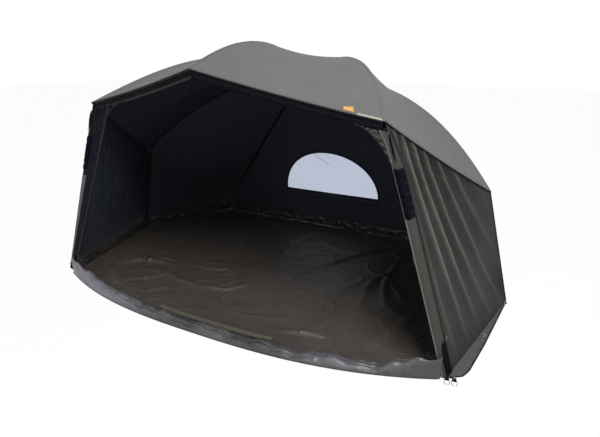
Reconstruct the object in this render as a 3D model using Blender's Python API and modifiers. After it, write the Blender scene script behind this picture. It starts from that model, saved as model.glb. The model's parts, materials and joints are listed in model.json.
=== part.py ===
# Fishing umbrella shelter: seven folding ribs on a tilted hub, a stretched canopy with
# side walls, a rear window, two telescopic front poles and a groundsheet.
# Metres, Z up, the open front faces -Y, the ground is at Z zero.
import math

import bmesh
import bpy
from mathutils import Matrix, Vector

# Front edge of the roof: its peak and its two corners
peak_y = -0.659
peak_z = 1.274
corner_x = 0.840
corner_y = -0.505
corner_z = 1.080

# Side corners of the roof
side_x = 1.220
side_y = 0.240
side_z = 0.647

# Where the canopy meets the ground
front_foot_x = 1.212
front_foot_y = -0.575
side_foot_x = 1.395
side_foot_y = 0.279
rear_foot_x = 1.049
rear_foot_y = 0.976
hem_lift = 0.0035

# Hub
hub_y = 0.460
hub_z = 1.205
hub_tilt_degrees = 47
pivot_radius = 0.045
hub_core_radius = 0.026
hub_rim_radius = 0.051
hub_half_height = 0.009
hub_rim_half_height = 0.0040
boss_radius = 0.021
slot_depth_past_pivot = 0.007
ring_wire_radius = 0.0015
ring_groove_clearance = 0.0005
cap_radius = 0.040
cap_rise = 0.0034
cap_rim_height = 0.0015
cap_crown_height = 0.007
cap_edge_share = 0.75

# Ribs, with how far each bows out from its straight line
rib_radius = 0.006
front_bow = 0.138
corner_bow = 0.183
side_bow = 0.227
rear_bow = 0.142
front_skew_share = -0.098
corner_skew_share = -0.300
side_skew_share = -0.187
rear_skew_share = 0.032
bundle_angle_degrees = 3.0
knuckle_width = 0.007
knuckle_radius = 0.005
knuckle_reach = 0.016
knuckle_stem_height = 0.007
rib_hem_clearance = 0.010

# Cloth
cloth = 0.002
touch_gap = 0.0003
seam_offset = 0.012
seam_inset = 0.0013
seat_radius = 0.030
first_row = 0.022
roof_sag = 0.026
roof_overhang = 0.012
hem_sag_share = 0.35
wall_top_drop = 0.0025
band_top_drop = 0.0021
wall_sag = 0.014
wall_fold = 0.013
wall_fold_count = 8
wall_fold_rise_share = 0.75
wall_fold_fade_share = 0.45
wall_calm_width = 0.095
wall_calm_run = 0.060
front_band_drop = 0.045
strip_side_width = 0.062
strip_side_share = 0.65
right_front_width = 0.020
right_gather_width = 0.043
right_gather_power = 16
left_front_width = 0.070
left_gather_width = 0.140
left_gather_power = 1
strip_top_gap = 0.004
flap_width = 0.063
flap_tuck = 0.012
flap_along_shares = (0.020, 0.046, 0.072, 0.108, 0.141, 0.417, 0.941, 0.990)
flap_across_shares = (0.13, 0.56, 0.86, 0.95, 1.0, 0.79, 0.16, 0.08)

# Corner webbing inside the side corners
webbing_width = 0.035
webbing = 0.0016
webbing_setback = 0.0134
webbing_top_setback = 0.0205
webbing_top_drop = 0.030
webbing_foot_gap = 0.004

# Storm poles
socket_radius = 0.008
socket_length = 0.028
socket_drop = 0.018
ear_thickness = 0.003
ear_half_width = 0.006
tongue_thickness = 0.005
tongue_half_width = 0.005
tongue_reach = 0.016
hinge_pin_radius = 0.0022
hinge_clearance = 0.0004
pole_radius = 0.0095
pole_bore_radius = 0.0083
rod_radius = 0.0079
pole_upper_length = 0.600
pole_overlap = 0.080
pole_top_wall = 0.006
spike_length = 0.040
spike_tip_radius = 0.0025
pole_foot_inset_x = 0.016
pole_foot_inset_y = 0.026
pole_fold_share = 0.935
collar_length = 0.040
collar_wall = 0.004
collar_groove = 0.001

# Groundsheet
sheet_thickness = 0.003
sheet_front_y = -0.800
sheet_front_bow = 0.210
sheet_front_power = 2.6
sheet_corner_x = 1.172
sheet_shift_x = 0.018
sheet_bow_half_width = 1.190
sheet_inset = 0.034
sheet_pole_gap = 0.018
lip_width = 0.085
lip_height = 0.026
lip_end_height = 0.105
lip_end_share = 0.78
lip_fold = 0.007
lip_end_gap = 0.003
tub_height = 0.080
tub_start_in = 0.070
tub_start_back = 0.010
tub_inset = 0.012
tub_lean = 0.014
tub_wall = 0.002

# Rear window
window_half_width = 0.395
window_foot_z = 0.285
window_height = 0.345
window_overlap = 0.016
window_pane = 0.001
cover_radius = 0.017
cover_below = 0.024
cover_past = 0.010
cover_seat_share = 0.955
toggle_radius = 0.004
toggle_length = 0.034
toggle_spread = 0.190
cutter_past = 0.200

# Rod straps, name tab, zip sliders
strap_length = 0.215
strap_from_top = 0.205
strap_edge = 0.002
tab_width = 0.050
tab_top_share = 0.968
tab_low_share = 1.0
tab_across_share = 0.825
slider_width = 0.012
slider_length = 0.022
slider_thickness = 0.006
slider_from_strip = 0.002
slider_from_foot = 0.155
puller_length = 0.024
puller_width = 0.010
puller_thickness = 0.002

# Peg tabs and D rings
peg_width = 0.018
peg_length = 0.018
peg_thickness = 0.002
peg_spread = 0.031
peg_turn_degrees = 10
peg_from_foot_x = 0.003
peg_from_foot_y = 0.012
peg_root_depth = 0.008
peg_back_along = 0.060
peg_back_out = 0.018
peg_eye_radius = 0.0038
peg_eye_bore = 0.0019
ring_wire = 0.0015
ring_half_width = 0.0115
ring_height = 0.030
ring_toe_lift = 0.0004


# Working values that follow from the sizes above
def level(x, y, z):
    return Vector((x, y, z))


hub = level(0, hub_y, hub_z)
hub_tilt = math.radians(hub_tilt_degrees)
hub_up = level(0, math.sin(hub_tilt), math.cos(hub_tilt))
peak = level(0, peak_y, peak_z)
corner = level(corner_x, corner_y, corner_z)
side_corner = level(side_x, side_y, side_z)
front_foot = level(front_foot_x, front_foot_y, hem_lift)
side_foot = level(side_foot_x, side_foot_y, hem_lift)
rear_foot = level(rear_foot_x, rear_foot_y, hem_lift)
room_middle = level(0, (peak_y + rear_foot_y) / 2, side_z / 2)
seat_height = hub_half_height + touch_gap + cloth / 2


def mirrored(point):
    return Vector((-point.x, point.y, point.z))


for old in list(bpy.data.objects):
    bpy.data.objects.remove(old, do_unlink=True)

parts = bpy.data.collections.new("fishing_umbrella_shelter")
cutters = bpy.data.collections.new("cutters")
for collection in (parts, cutters):
    bpy.context.scene.collection.children.link(collection)


def surface(name, colour, roughness, metallic):
    material = bpy.data.materials.new(name)
    material.use_nodes = True
    shader = material.node_tree.nodes["Principled BSDF"]
    shader.inputs["Base Color"].default_value = (*colour, 1)
    shader.inputs["Roughness"].default_value = roughness
    shader.inputs["Metallic"].default_value = metallic
    return material


canopy_cloth = surface("canopy_cloth", (0.070, 0.072, 0.058), 0.80, 0)
ground_cloth = surface("ground_cloth", (0.062, 0.050, 0.040), 0.55, 0)
black_web = surface("black_webbing", (0.010, 0.010, 0.012), 0.75, 0)
orange_web = surface("orange_tab", (0.750, 0.220, 0.030), 0.70, 0)
clear_pane = surface("window_pane", (0.550, 0.640, 0.700), 0.20, 0)
dark_metal = surface("dark_metal", (0.060, 0.062, 0.065), 0.40, 1)
bright_metal = surface("bright_metal", (0.620, 0.620, 0.610), 0.25, 1)
black_plastic = surface("black_plastic", (0.015, 0.015, 0.016), 0.45, 0)


def finished(item, name, material, home=parts):
    item.name = name
    item.data.name = name
    item.data.materials.clear()
    item.data.materials.append(material)
    for holder in list(item.users_collection):
        holder.objects.unlink(item)
    home.objects.link(item)
    return item


def from_bmesh(shape, name, material, home=parts, smooth=True):
    mesh = bpy.data.meshes.new(name)
    bmesh.ops.recalc_face_normals(shape, faces=shape.faces)
    shape.to_mesh(mesh)
    shape.free()
    item = bpy.data.objects.new(name, mesh)
    item = finished(item, name, material, home)
    if smooth:
        mesh.shade_smooth()
        mesh.set_sharp_from_angle(angle=math.radians(40))
    return item


def basis(origin, x_way, z_way):
    z_axis = z_way.normalized()
    x_axis = (x_way - z_axis * x_way.dot(z_axis)).normalized()
    y_axis = z_axis.cross(x_axis)
    turn = Matrix((x_axis, y_axis, z_axis)).transposed().to_4x4()
    return Matrix.Translation(origin) @ turn


def box(name, size, middle, material, home=parts):
    shape = bmesh.new()
    bmesh.ops.create_cube(shape, size=1)
    bmesh.ops.scale(shape, vec=size, verts=shape.verts)
    bmesh.ops.translate(shape, vec=middle, verts=shape.verts)
    return from_bmesh(shape, name, material, home, smooth=False)


def rod(name, radius, low, high, sides, material, home=parts):
    shape = bmesh.new()
    bmesh.ops.create_cone(
        shape, cap_ends=True, segments=sides, radius1=radius, radius2=radius, depth=high - low
    )
    bmesh.ops.translate(shape, vec=(0, 0, (high + low) / 2), verts=shape.verts)
    return from_bmesh(shape, name, material, home)


def turned(name, profile, sides, material, closed=False):
    mesh = bpy.data.meshes.new(name)
    count = len(profile)
    edges = [(i, i + 1) for i in range(count - 1)]
    if closed:
        edges.append((count - 1, 0))
    mesh.from_pydata([(r, 0, z) for r, z in profile], edges, [])
    item = finished(bpy.data.objects.new(name, mesh), name, material)
    screw = item.modifiers.new("turn", "SCREW")
    screw.steps = sides
    screw.render_steps = sides
    screw.use_merge_vertices = True
    screw.merge_threshold = 0.00001
    screw.use_normal_calculate = False
    screw.use_smooth_shade = True
    return item


def as_mesh(item):
    bpy.context.view_layer.update()
    graph = bpy.context.evaluated_depsgraph_get()
    mesh = bpy.data.meshes.new_from_object(item.evaluated_get(graph))
    shape = bmesh.new()
    shape.from_mesh(mesh)
    bmesh.ops.remove_doubles(shape, verts=shape.verts, dist=0.000001)
    bmesh.ops.recalc_face_normals(shape, faces=shape.faces)
    shape.to_mesh(mesh)
    shape.free()
    name = item.name
    material = item.data.materials[0]
    place = item.matrix_world.copy()
    home = item.users_collection[0]
    bpy.data.objects.remove(item, do_unlink=True)
    made = finished(bpy.data.objects.new(name, mesh), name, material, home)
    made.matrix_world = place
    return made


def combine(item, other, operation):
    other.hide_render = True
    other.display_type = "WIRE"
    for holder in list(other.users_collection):
        holder.objects.unlink(other)
    cutters.objects.link(other)
    step = item.modifiers.new(operation.lower(), "BOOLEAN")
    step.operation = operation
    step.solver = "EXACT"
    step.object = other
    return item


def tube(name, points, radius, resolution, material, origin, cyclic=False):
    curve = bpy.data.curves.new(name, "CURVE")
    curve.dimensions = "3D"
    spline = curve.splines.new("POLY")
    spline.points.add(len(points) - 1)
    for knot, point in zip(spline.points, points):
        knot.co = (*(point - origin), 1)
    spline.use_cyclic_u = cyclic
    curve.bevel_depth = radius
    curve.bevel_resolution = resolution
    curve.use_fill_caps = not cyclic
    item = finished(bpy.data.objects.new(name, curve), name, material)
    item.location = origin
    return item


def sheet(name, rows, thickness, material):
    shape = bmesh.new()
    grid = [[shape.verts.new(point) for point in row] for row in rows]
    for upper, lower in zip(grid, grid[1:]):
        if len(upper) == 1:
            for j in range(len(lower) - 1):
                shape.faces.new((upper[0], lower[j + 1], lower[j]))
            continue
        for j in range(len(upper) - 1):
            shape.faces.new((upper[j], upper[j + 1], lower[j + 1], lower[j]))
    mesh = bpy.data.meshes.new(name)
    shape.to_mesh(mesh)
    shape.free()
    item = finished(bpy.data.objects.new(name, mesh), name, material)
    mesh.shade_smooth()
    skin = item.modifiers.new("thickness", "SOLIDIFY")
    skin.thickness = thickness
    skin.offset = 0
    return item


def plate(name, outline, foot_z, thickness, material):
    curve = bpy.data.curves.new(name, "CURVE")
    curve.dimensions = "2D"
    curve.fill_mode = "BOTH"
    spline = curve.splines.new("POLY")
    spline.points.add(len(outline) - 1)
    for knot, (x, y) in zip(spline.points, outline):
        knot.co = (x, y, 0, 1)
    spline.use_cyclic_u = True
    curve.extrude = thickness / 2
    item = finished(bpy.data.objects.new(name, curve), name, material)
    item.location = (0, 0, foot_z + thickness / 2)
    return item


def joint_empty(name, point, parent=None):
    empty = bpy.data.objects.new(name, None)
    empty.empty_display_size = pivot_radius
    parts.objects.link(empty)
    empty.matrix_world = Matrix.Translation(point)
    if parent:
        hang(empty, parent)
    return empty


def hang(item, parent):
    bpy.context.view_layer.update()
    item.parent = parent
    item.matrix_parent_inverse = parent.matrix_world.inverted()


# Ribs: each lies in a plane through the hub's axis
def new_rib(name, tip, bow, skew):
    radial = tip - hub
    radial = (radial - hub_up * radial.dot(hub_up)).normalized()
    pivot = hub + radial * pivot_radius
    chord = tip - pivot
    ahead = chord.normalized()
    outward = (hub_up - ahead * hub_up.dot(ahead)).normalized()
    axis = ahead.cross(-hub_up).normalized()
    angle = ahead.angle(-hub_up) - math.radians(bundle_angle_degrees)
    return {
        "name": name,
        "tip": tip,
        "radial": radial,
        "pivot": pivot,
        "chord": chord,
        "outward": outward,
        "axis": axis,
        "angle": angle,
        "bow": bow,
        "skew": skew,
    }


def rib_point(rib, share):
    rise = 4 * share * (1 - share) * (1 + rib["skew"] * (2 * share - 1))
    return rib["pivot"] + rib["chord"] * share + rib["outward"] * (rib["bow"] * rise)


def rib_way(rib, share):
    step_share = 0.001
    ahead = rib_point(rib, share + step_share) - rib_point(rib, share - step_share)
    return ahead.normalized()


def share_at(rib, distance, from_tip=False):
    return 1 - distance / rib["chord"].length if from_tip else distance / rib["chord"].length


def share_at_distance(rib, point, distance, near_share, far_share):
    # the share between these two at which the rib is this far from the point
    for _ in range(30):
        middle_share = (near_share + far_share) / 2
        if (rib_point(rib, middle_share) - point).length < distance:
            near_share = middle_share
        else:
            far_share = middle_share
    return far_share


def seam_point(rib, share):
    way = rib_way(rib, share)
    out = (rib["outward"] - way * way.dot(rib["outward"])).normalized()
    return rib_point(rib, share) + out * seam_offset


def hub_seat(rib):
    return hub + rib["radial"] * seat_radius + hub_up * seat_height


front_rib = new_rib("front", peak, front_bow, front_skew_share)
right_corner_rib = new_rib("right_corner", corner, corner_bow, corner_skew_share)
left_corner_rib = new_rib("left_corner", mirrored(corner), corner_bow, corner_skew_share)
right_side_rib = new_rib("right_side", side_corner, side_bow, side_skew_share)
left_side_rib = new_rib("left_side", mirrored(side_corner), side_bow, side_skew_share)
right_rear_rib = new_rib("right_rear", rear_foot, rear_bow, rear_skew_share)
left_rear_rib = new_rib("left_rear", mirrored(rear_foot), rear_bow, rear_skew_share)
ribs = [
    front_rib,
    right_corner_rib,
    left_corner_rib,
    right_side_rib,
    left_side_rib,
    right_rear_rib,
    left_rear_rib,
]
corner_ribs = [right_corner_rib, left_corner_rib]

# Hub body: a domed disc with a groove for the ring wire and a slot for each rib
groove_radius = ring_wire_radius + ring_groove_clearance
groove_outer = pivot_radius + groove_radius
groove_inner = pivot_radius - groove_radius
hub_profile = [
    (0, seat_height + cloth / 2),
    (boss_radius, seat_height + cloth / 2),
    (boss_radius, hub_half_height),
    (hub_core_radius, hub_half_height),
    (hub_rim_radius, hub_rim_half_height),
    (hub_rim_radius, -hub_rim_half_height),
    (groove_outer, -hub_rim_half_height),
    (groove_outer, groove_radius),
    (groove_inner, groove_radius),
    (groove_inner, -hub_half_height),
    (0, -hub_half_height),
]
hub_frame = basis(hub, level(1, 0, 0), hub_up)
hub_body = turned("hub_body", hub_profile, 28, black_plastic)
hub_body.matrix_world = hub_frame
slot_half = knuckle_width / 2 + touch_gap
slot_reach = hub_rim_radius + slot_depth_past_pivot
slot_inner = pivot_radius - knuckle_radius - touch_gap * 2
for rib in ribs:
    slot = box(
        "slot_" + rib["name"],
        (slot_reach - slot_inner, slot_half * 2, hub_half_height * 3),
        ((slot_reach + slot_inner) / 2, 0, 0),
        black_plastic,
    )
    slot.matrix_world = basis(hub, rib["radial"], hub_up)
    combine(hub_body, slot, "DIFFERENCE")

ring_turns = 42
ring_points = []
for i in range(ring_turns):
    turn = 2 * math.pi * i / ring_turns
    spot = hub_frame @ level(pivot_radius * math.cos(turn), pivot_radius * math.sin(turn), 0)
    ring_points.append(spot)
tube("hub_ring_wire", ring_points, ring_wire_radius, 1, bright_metal, hub, cyclic=True)

cap_foot = seat_height + cloth / 2 + touch_gap
cap_profile = [
    (0, cap_foot + cap_rise + cap_crown_height),
    (cap_radius / 2, cap_foot + cap_rise + cap_crown_height * cap_edge_share),
    (cap_radius * cap_edge_share, cap_foot + cap_rise + cap_crown_height / 2),
    (cap_radius, cap_foot + cap_rise + cap_rim_height),
    (cap_radius, cap_foot + cap_rise),
    (boss_radius, cap_foot),
    (0, cap_foot),
]
hub_cap = turned("hub_cap", cap_profile, 24, black_plastic)
hub_cap.matrix_world = hub_frame

# Rib tubes and the knuckles that hang them on the ring wire
rib_knots = 17
for rib in ribs:
    empty = joint_empty("pivot_" + rib["name"], rib["pivot"])
    rib["empty"] = empty
    start = share_at_distance(rib, rib["pivot"], knuckle_reach + touch_gap * 2, 0, 0.5)
    stop = share_at(rib, rib_hem_clearance, from_tip=True)
    if rib in corner_ribs:
        socket_share = share_at(rib, rib_hem_clearance + socket_length / 2, from_tip=True)
        socket_middle = rib_point(rib, socket_share)
        end_distance = socket_length / 2 + touch_gap * 2
        stop = share_at_distance(rib, socket_middle, end_distance, socket_share, 0.5)
    knots = [rib_point(rib, start + (stop - start) * i / (rib_knots - 1)) for i in range(rib_knots)]
    item = tube("rib_" + rib["name"], knots, rib_radius, 2, dark_metal, rib["pivot"])
    hang(item, empty)
    rib["end"] = stop

    eye = rod(
        "knuckle_" + rib["name"],
        knuckle_radius,
        -knuckle_width / 2,
        knuckle_width / 2,
        20,
        black_plastic,
    )
    stem = box(
        "stem_" + rib["name"],
        (knuckle_reach, knuckle_stem_height, knuckle_width - touch_gap),
        (knuckle_reach / 2, 0, 0),
        black_plastic,
    )
    bore = rod(
        "bore_" + rib["name"],
        ring_wire_radius + ring_groove_clearance,
        -knuckle_width,
        knuckle_width,
        16,
        black_plastic,
    )
    place = basis(rib["pivot"], knots[0] - rib["pivot"], rib["axis"])
    for piece in (eye, stem, bore):
        piece.matrix_world = place
    combine(eye, stem, "UNION")
    combine(eye, bore, "DIFFERENCE")
    hang(eye, empty)


# Stretched cloth between two edge curves, sagging between them
def on_cloth(edge_a, edge_b, share, across, sag):
    step_share = 0.004
    a_point = edge_a(share)
    b_point = edge_b(share)
    span = b_point - a_point
    run = edge_a(share + step_share) + edge_b(share + step_share)
    run = run - edge_a(share - step_share) - edge_b(share - step_share)
    normal = span.cross(run).normalized()
    if normal.dot((a_point + b_point) / 2 - room_middle) < 0:
        normal = -normal
    inset = seam_inset / max(span.length, seam_inset * 4)
    across = inset + across * (1 - 2 * inset)
    depth = sag * 4 * across * (1 - across)
    return a_point + span * across - normal * depth, normal


def sag_at(share, size):
    share = min(max(share, 0), 1)
    return size * (math.sin(math.pi * share) * (1 - hem_sag_share / 2) + hem_sag_share * share)


def along_rib(rib):
    return lambda share: seam_point(rib, share)


def with_corner_line(rib, foot, bend_share):
    top = seam_point(rib, 1)

    def edge(share):
        if share <= bend_share:
            return seam_point(rib, share / bend_share)
        return top + (foot - top) * ((share - bend_share) / (1 - bend_share))

    return edge


def panel_rows(rib_a, rib_b, edge_a, edge_b, shares, columns, sag):
    rows = []
    seat_a = hub_seat(rib_a)
    seat_b = hub_seat(rib_b)
    inset = seam_inset / (seat_b - seat_a).length
    rows.append([
        seat_a.lerp(seat_b, inset + (1 - 2 * inset) * j / columns) for j in range(columns + 1)
    ])
    for share in shares:
        rows.append([
            on_cloth(edge_a, edge_b, share, j / columns, sag_at(share, sag))[0]
            for j in range(columns + 1)
        ])
    return rows


def roof_shares(rib, count, last):
    first = share_at(rib, first_row)
    second_share = 0.075
    spread = [second_share + (1 - second_share) * i / (count - 1) for i in range(count)]
    shares = [first] + spread
    if last > 1:
        shares.append(last)
    return shares


roof_columns = 8
roof_rows = 11
for name, rib_a, rib_b in (
    ("roof_front_left", left_corner_rib, front_rib),
    ("roof_front_right", front_rib, right_corner_rib),
    ("roof_left", left_side_rib, left_corner_rib),
    ("roof_right", right_corner_rib, right_side_rib),
):
    past = 1 + roof_overhang / max(rib_a["chord"].length, rib_b["chord"].length)
    shares = roof_shares(rib_a, roof_rows, past)
    rows = panel_rows(
        rib_a, rib_b, along_rib(rib_a), along_rib(rib_b), shares, roof_columns, roof_sag
    )
    sheet(name, rows, cloth, canopy_cloth)

side_run = right_side_rib["chord"].length
bend_share = side_run / (side_run + (side_corner - side_foot).length)
for name, side_rib, rear_rib, foot in (
    ("rear_left", left_side_rib, left_rear_rib, mirrored(side_foot)),
    ("rear_right", right_side_rib, right_rear_rib, side_foot),
):
    first = share_at(side_rib, first_row) * bend_share
    second_share = 0.05
    rows_before = 9
    rows_after = 5
    shares = [first]
    for i in range(rows_before):
        shares.append(second_share + (bend_share - second_share) * i / (rows_before - 1))
    for i in range(1, rows_after + 1):
        shares.append(bend_share + (1 - bend_share) * i / rows_after)
    edge_a = with_corner_line(side_rib, foot, bend_share)
    rows = panel_rows(
        side_rib, rear_rib, edge_a, along_rib(rear_rib), shares, roof_columns, roof_sag
    )
    sheet(name, rows, cloth, canopy_cloth)

# Rear middle panel with the window cut out of it
rear_columns = 12
rear_edges = (along_rib(left_rear_rib), along_rib(right_rear_rib))


def window_outline(grow, steps):
    half = window_half_width + grow
    rise = window_height + grow
    points = [(-half, window_foot_z - grow)]
    for i in range(steps + 1):
        turn = math.pi * i / steps
        points.append((-half * math.cos(turn), window_foot_z + rise * math.sin(turn)))
    points.append((half, window_foot_z - grow))
    return points


def window_cutter(name, grow):
    curve = bpy.data.curves.new(name, "CURVE")
    curve.dimensions = "2D"
    curve.fill_mode = "BOTH"
    outline = window_outline(grow, 28)
    spline = curve.splines.new("POLY")
    spline.points.add(len(outline) - 1)
    for knot, (x, z) in zip(spline.points, outline):
        knot.co = (x, z, 0, 1)
    spline.use_cyclic_u = True
    curve.extrude = cutter_past
    item = finished(bpy.data.objects.new(name, curve), name, black_plastic)
    item.matrix_world = basis(level(0, rear_foot_y, 0), level(1, 0, 0), level(0, -1, 0))
    return as_mesh(item)


def rear_inside(share, across, depth):
    spot, normal = on_cloth(*rear_edges, share, across, sag_at(share, roof_sag))
    return spot - normal * depth


def rear_share_at(z):
    low_share = 0.3
    high_share = 1
    for _ in range(40):
        middle = (low_share + high_share) / 2
        if rear_inside(middle, 0.5, 0).z > z:
            low_share = middle
        else:
            high_share = middle
    return (low_share + high_share) / 2


cover_share = rear_share_at(window_foot_z - cover_below)
rear_shares = sorted(roof_shares(right_rear_rib, 13, 1) + [cover_share])
rows = panel_rows(left_rear_rib, right_rear_rib, *rear_edges, rear_shares, rear_columns, roof_sag)
rear_panel = sheet("rear_middle", rows, cloth, canopy_cloth)
combine(rear_panel, window_cutter("window_hole", 0), "DIFFERENCE")

pane_top = rear_share_at(window_foot_z + window_height + window_overlap * 2)
pane_foot = rear_share_at(window_foot_z - window_overlap * 2)
pane_depth = (cloth + window_pane) / 2 + touch_gap
pane_columns = 10
above = max(i for i, share in enumerate(rear_shares) if share < pane_top)
below = min(i for i, share in enumerate(rear_shares) if share > pane_foot)
rows = []
for share in rear_shares[above:below + 1]:
    width = (rear_edges[1](share) - rear_edges[0](share)).length
    half_share = (window_half_width + window_overlap * 2) / width
    rows.append([
        rear_inside(share, 0.5 + half_share * (2 * j / pane_columns - 1), pane_depth)
        for j in range(pane_columns + 1)
    ])
pane = sheet("window_pane", rows, window_pane, clear_pane)
combine(pane, window_cutter("window_edge", window_overlap), "INTERSECT")

# Rolled window cover under the sill with its two toggles
cover_depth = cloth / 2 + window_pane + touch_gap + cover_radius * cover_seat_share
cover_middle, rear_normal = on_cloth(*rear_edges, cover_share, 0.5, sag_at(cover_share, roof_sag))
cover_width = (rear_edges[1](cover_share) - rear_edges[0](cover_share)).length
cover_half = window_half_width + cover_past
cover_knots = 13
cover_points = []
for i in range(cover_knots):
    offset_share = cover_half / cover_width * (2 * i / (cover_knots - 1) - 1)
    cover_points.append(rear_inside(cover_share, 0.5 + offset_share, cover_depth))
tube("window_cover_roll", cover_points, cover_radius, 3, canopy_cloth, cover_middle)
for name, way in (("window_toggle_left", -1), ("window_toggle_right", 1)):
    offset_share = way * toggle_spread / cover_width
    depth = cover_depth + cover_radius + toggle_radius + touch_gap
    spot = rear_inside(cover_share, 0.5 + offset_share, depth)
    peg = rod(name, toggle_radius, -toggle_length / 2, toggle_length / 2, 12, black_plastic)
    peg.matrix_world = basis(spot, rear_normal, level(1, 0, 0))


# Side walls: hung under the roof's edge, with folds that fan out from the front corner
def wall_top(corner_rib, side_rib, across):
    spot, normal = on_cloth(
        along_rib(corner_rib), along_rib(side_rib), 1, across, sag_at(1, roof_sag)
    )
    return spot - normal * wall_top_drop


def wall_rows(corner_rib, side_rib, front_low, rear_low, rows_count, columns):
    # rows run out from the front corner, columns fan round it from the foot to the roof's edge
    top_front = wall_top(corner_rib, side_rib, 0)
    top_rear = wall_top(corner_rib, side_rib, 1)
    flat_normal = (top_rear - top_front).cross(front_low - top_front).normalized()
    if flat_normal.dot(top_front - room_middle) < 0:
        flat_normal = -flat_normal
    edge_way = (front_low - top_front).normalized()
    foot_run = (rear_low - front_low).length
    bend = foot_run / (foot_run + (top_rear - rear_low).length)
    rows = [[top_front]]
    for i in range(1, rows_count + 1):
        reach = i / rows_count
        row = []
        for j in range(columns + 1):
            fan = j / columns
            if fan <= bend:
                far = front_low.lerp(rear_low, fan / bend)
            else:
                far = rear_low.lerp(top_rear, (fan - bend) / (1 - bend))
            spot = top_front.lerp(far, reach)
            lift = wall_top(corner_rib, side_rib, reach) - top_front.lerp(top_rear, reach)
            spot = spot + lift * fan**6
            aside = spot - top_front
            aside = (aside - edge_way * aside.dot(edge_way)).length
            calm = min(12 * (1 - fan), 1) * min(max(aside - wall_calm_width, 0) / wall_calm_run, 1)
            ridge = 1 - 2 * abs(math.sin(math.pi * wall_fold_count * fan))
            growth = math.sin(math.pi * reach**wall_fold_rise_share) * (1 - fan * wall_fold_fade_share)
            fold = wall_fold * calm * growth * ridge
            sag = wall_sag * calm * math.sin(math.pi * reach)
            row.append(spot + flat_normal * (fold - sag))
        rows.append(row)
    return rows


def inset_line(point, other, distance):
    return point + (other - point).normalized() * distance


for name, corner_rib, side_rib, way in (
    ("wall_right", right_corner_rib, right_side_rib, 1),
    ("wall_left", left_corner_rib, left_side_rib, -1),
):
    front_low = front_foot if way > 0 else mirrored(front_foot)
    rear_low = side_foot if way > 0 else mirrored(side_foot)
    rows = wall_rows(
        corner_rib,
        side_rib,
        inset_line(front_low, rear_low, seam_inset),
        inset_line(rear_low, front_low, seam_inset),
        12,
        32,
    )
    sheet(name, rows, cloth, canopy_cloth)


# Front band under the roof's front edge
def front_edge(rib_a, rib_b, across):
    spot, normal = on_cloth(along_rib(rib_a), along_rib(rib_b), 1, across, sag_at(1, roof_sag))
    return spot - normal * band_top_drop


band_columns = 10
band_inset_share = 0.008
top_row = [front_edge(left_corner_rib, front_rib, j / band_columns) for j in range(band_columns)]
top_row += [
    front_edge(front_rib, right_corner_rib, j / band_columns) for j in range(1, band_columns + 1)
]
band_end = band_inset_share * (corner - peak).length
top_row[0] = inset_line(top_row[0], top_row[1], band_end)
top_row[-1] = inset_line(top_row[-1], top_row[-2], band_end)
low_row = [point - level(0, 0, front_band_drop) for point in top_row]
middle_row = [high.lerp(low, 0.5) for high, low in zip(top_row, low_row)]
sheet("front_band", [top_row, middle_row, low_row], cloth, canopy_cloth)


# Front strips: each wraps the corner, part in front of it and part along the wall
def strip_frame(corner_rib, side_rib, front_low, rear_low, way):
    top = wall_top(corner_rib, side_rib, 0)
    foot = inset_line(front_low, rear_low, seam_inset)
    down = (foot - top).normalized()
    wall_way = rear_low - top
    wall_way = (wall_way - down * wall_way.dot(down)).normalized()
    wall_out = wall_way.cross(down).normalized()
    if wall_out.x * way < 0:
        wall_out = -wall_out
    hem_way = level(-way * corner_x, peak_y - corner_y, peak_z - corner_z).normalized()
    front_out = hem_way.cross(down).normalized()
    if front_out.y > 0:
        front_out = -front_out
    flat_way = (hem_way + down * (hem_way.z / -down.z)).normalized()
    return {
        "top": top,
        "foot": foot,
        "down": down,
        "length": (foot - top).length,
        "wall_way": wall_way,
        "wall_out": wall_out,
        "front_out": front_out,
        "hem": hem_way,
        "flat": flat_way,
        "front": right_front_width if way > 0 else left_front_width,
        "gather": right_gather_width if way > 0 else left_gather_width,
        "power": right_gather_power if way > 0 else left_gather_power,
    }


def strip_spot(strip, drop, aside, lift):
    # drop runs from zero at the corner to one at the foot, aside is the way along the wall,
    # and below zero the way towards the doorway
    spot = strip["top"].lerp(strip["foot"], drop)
    off_wall = cloth + touch_gap * 3 + lift
    off_front = cloth * 0.8 + touch_gap + lift
    lean = strip["wall_out"].dot(strip["front_out"])
    spot = spot + strip["wall_out"] * ((off_wall - lean * off_front) / (1 - lean * lean))
    spot = spot + strip["front_out"] * ((off_front - lean * off_wall) / (1 - lean * lean))
    if aside > 0:
        return spot + strip["wall_way"] * aside
    return spot - strip["hem"].lerp(strip["flat"], drop).normalized() * aside


def strip_row(strip, drop, edge, lift):
    front = strip["front"] + strip["gather"] * (1 - drop) ** strip["power"] - edge
    side = min(strip_side_width, strip["length"] * drop * strip_side_share) - edge
    return [strip_spot(strip, drop, aside, lift) for aside in (
        -front, -front / 2, 0, side / 2, side
    )]


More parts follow.
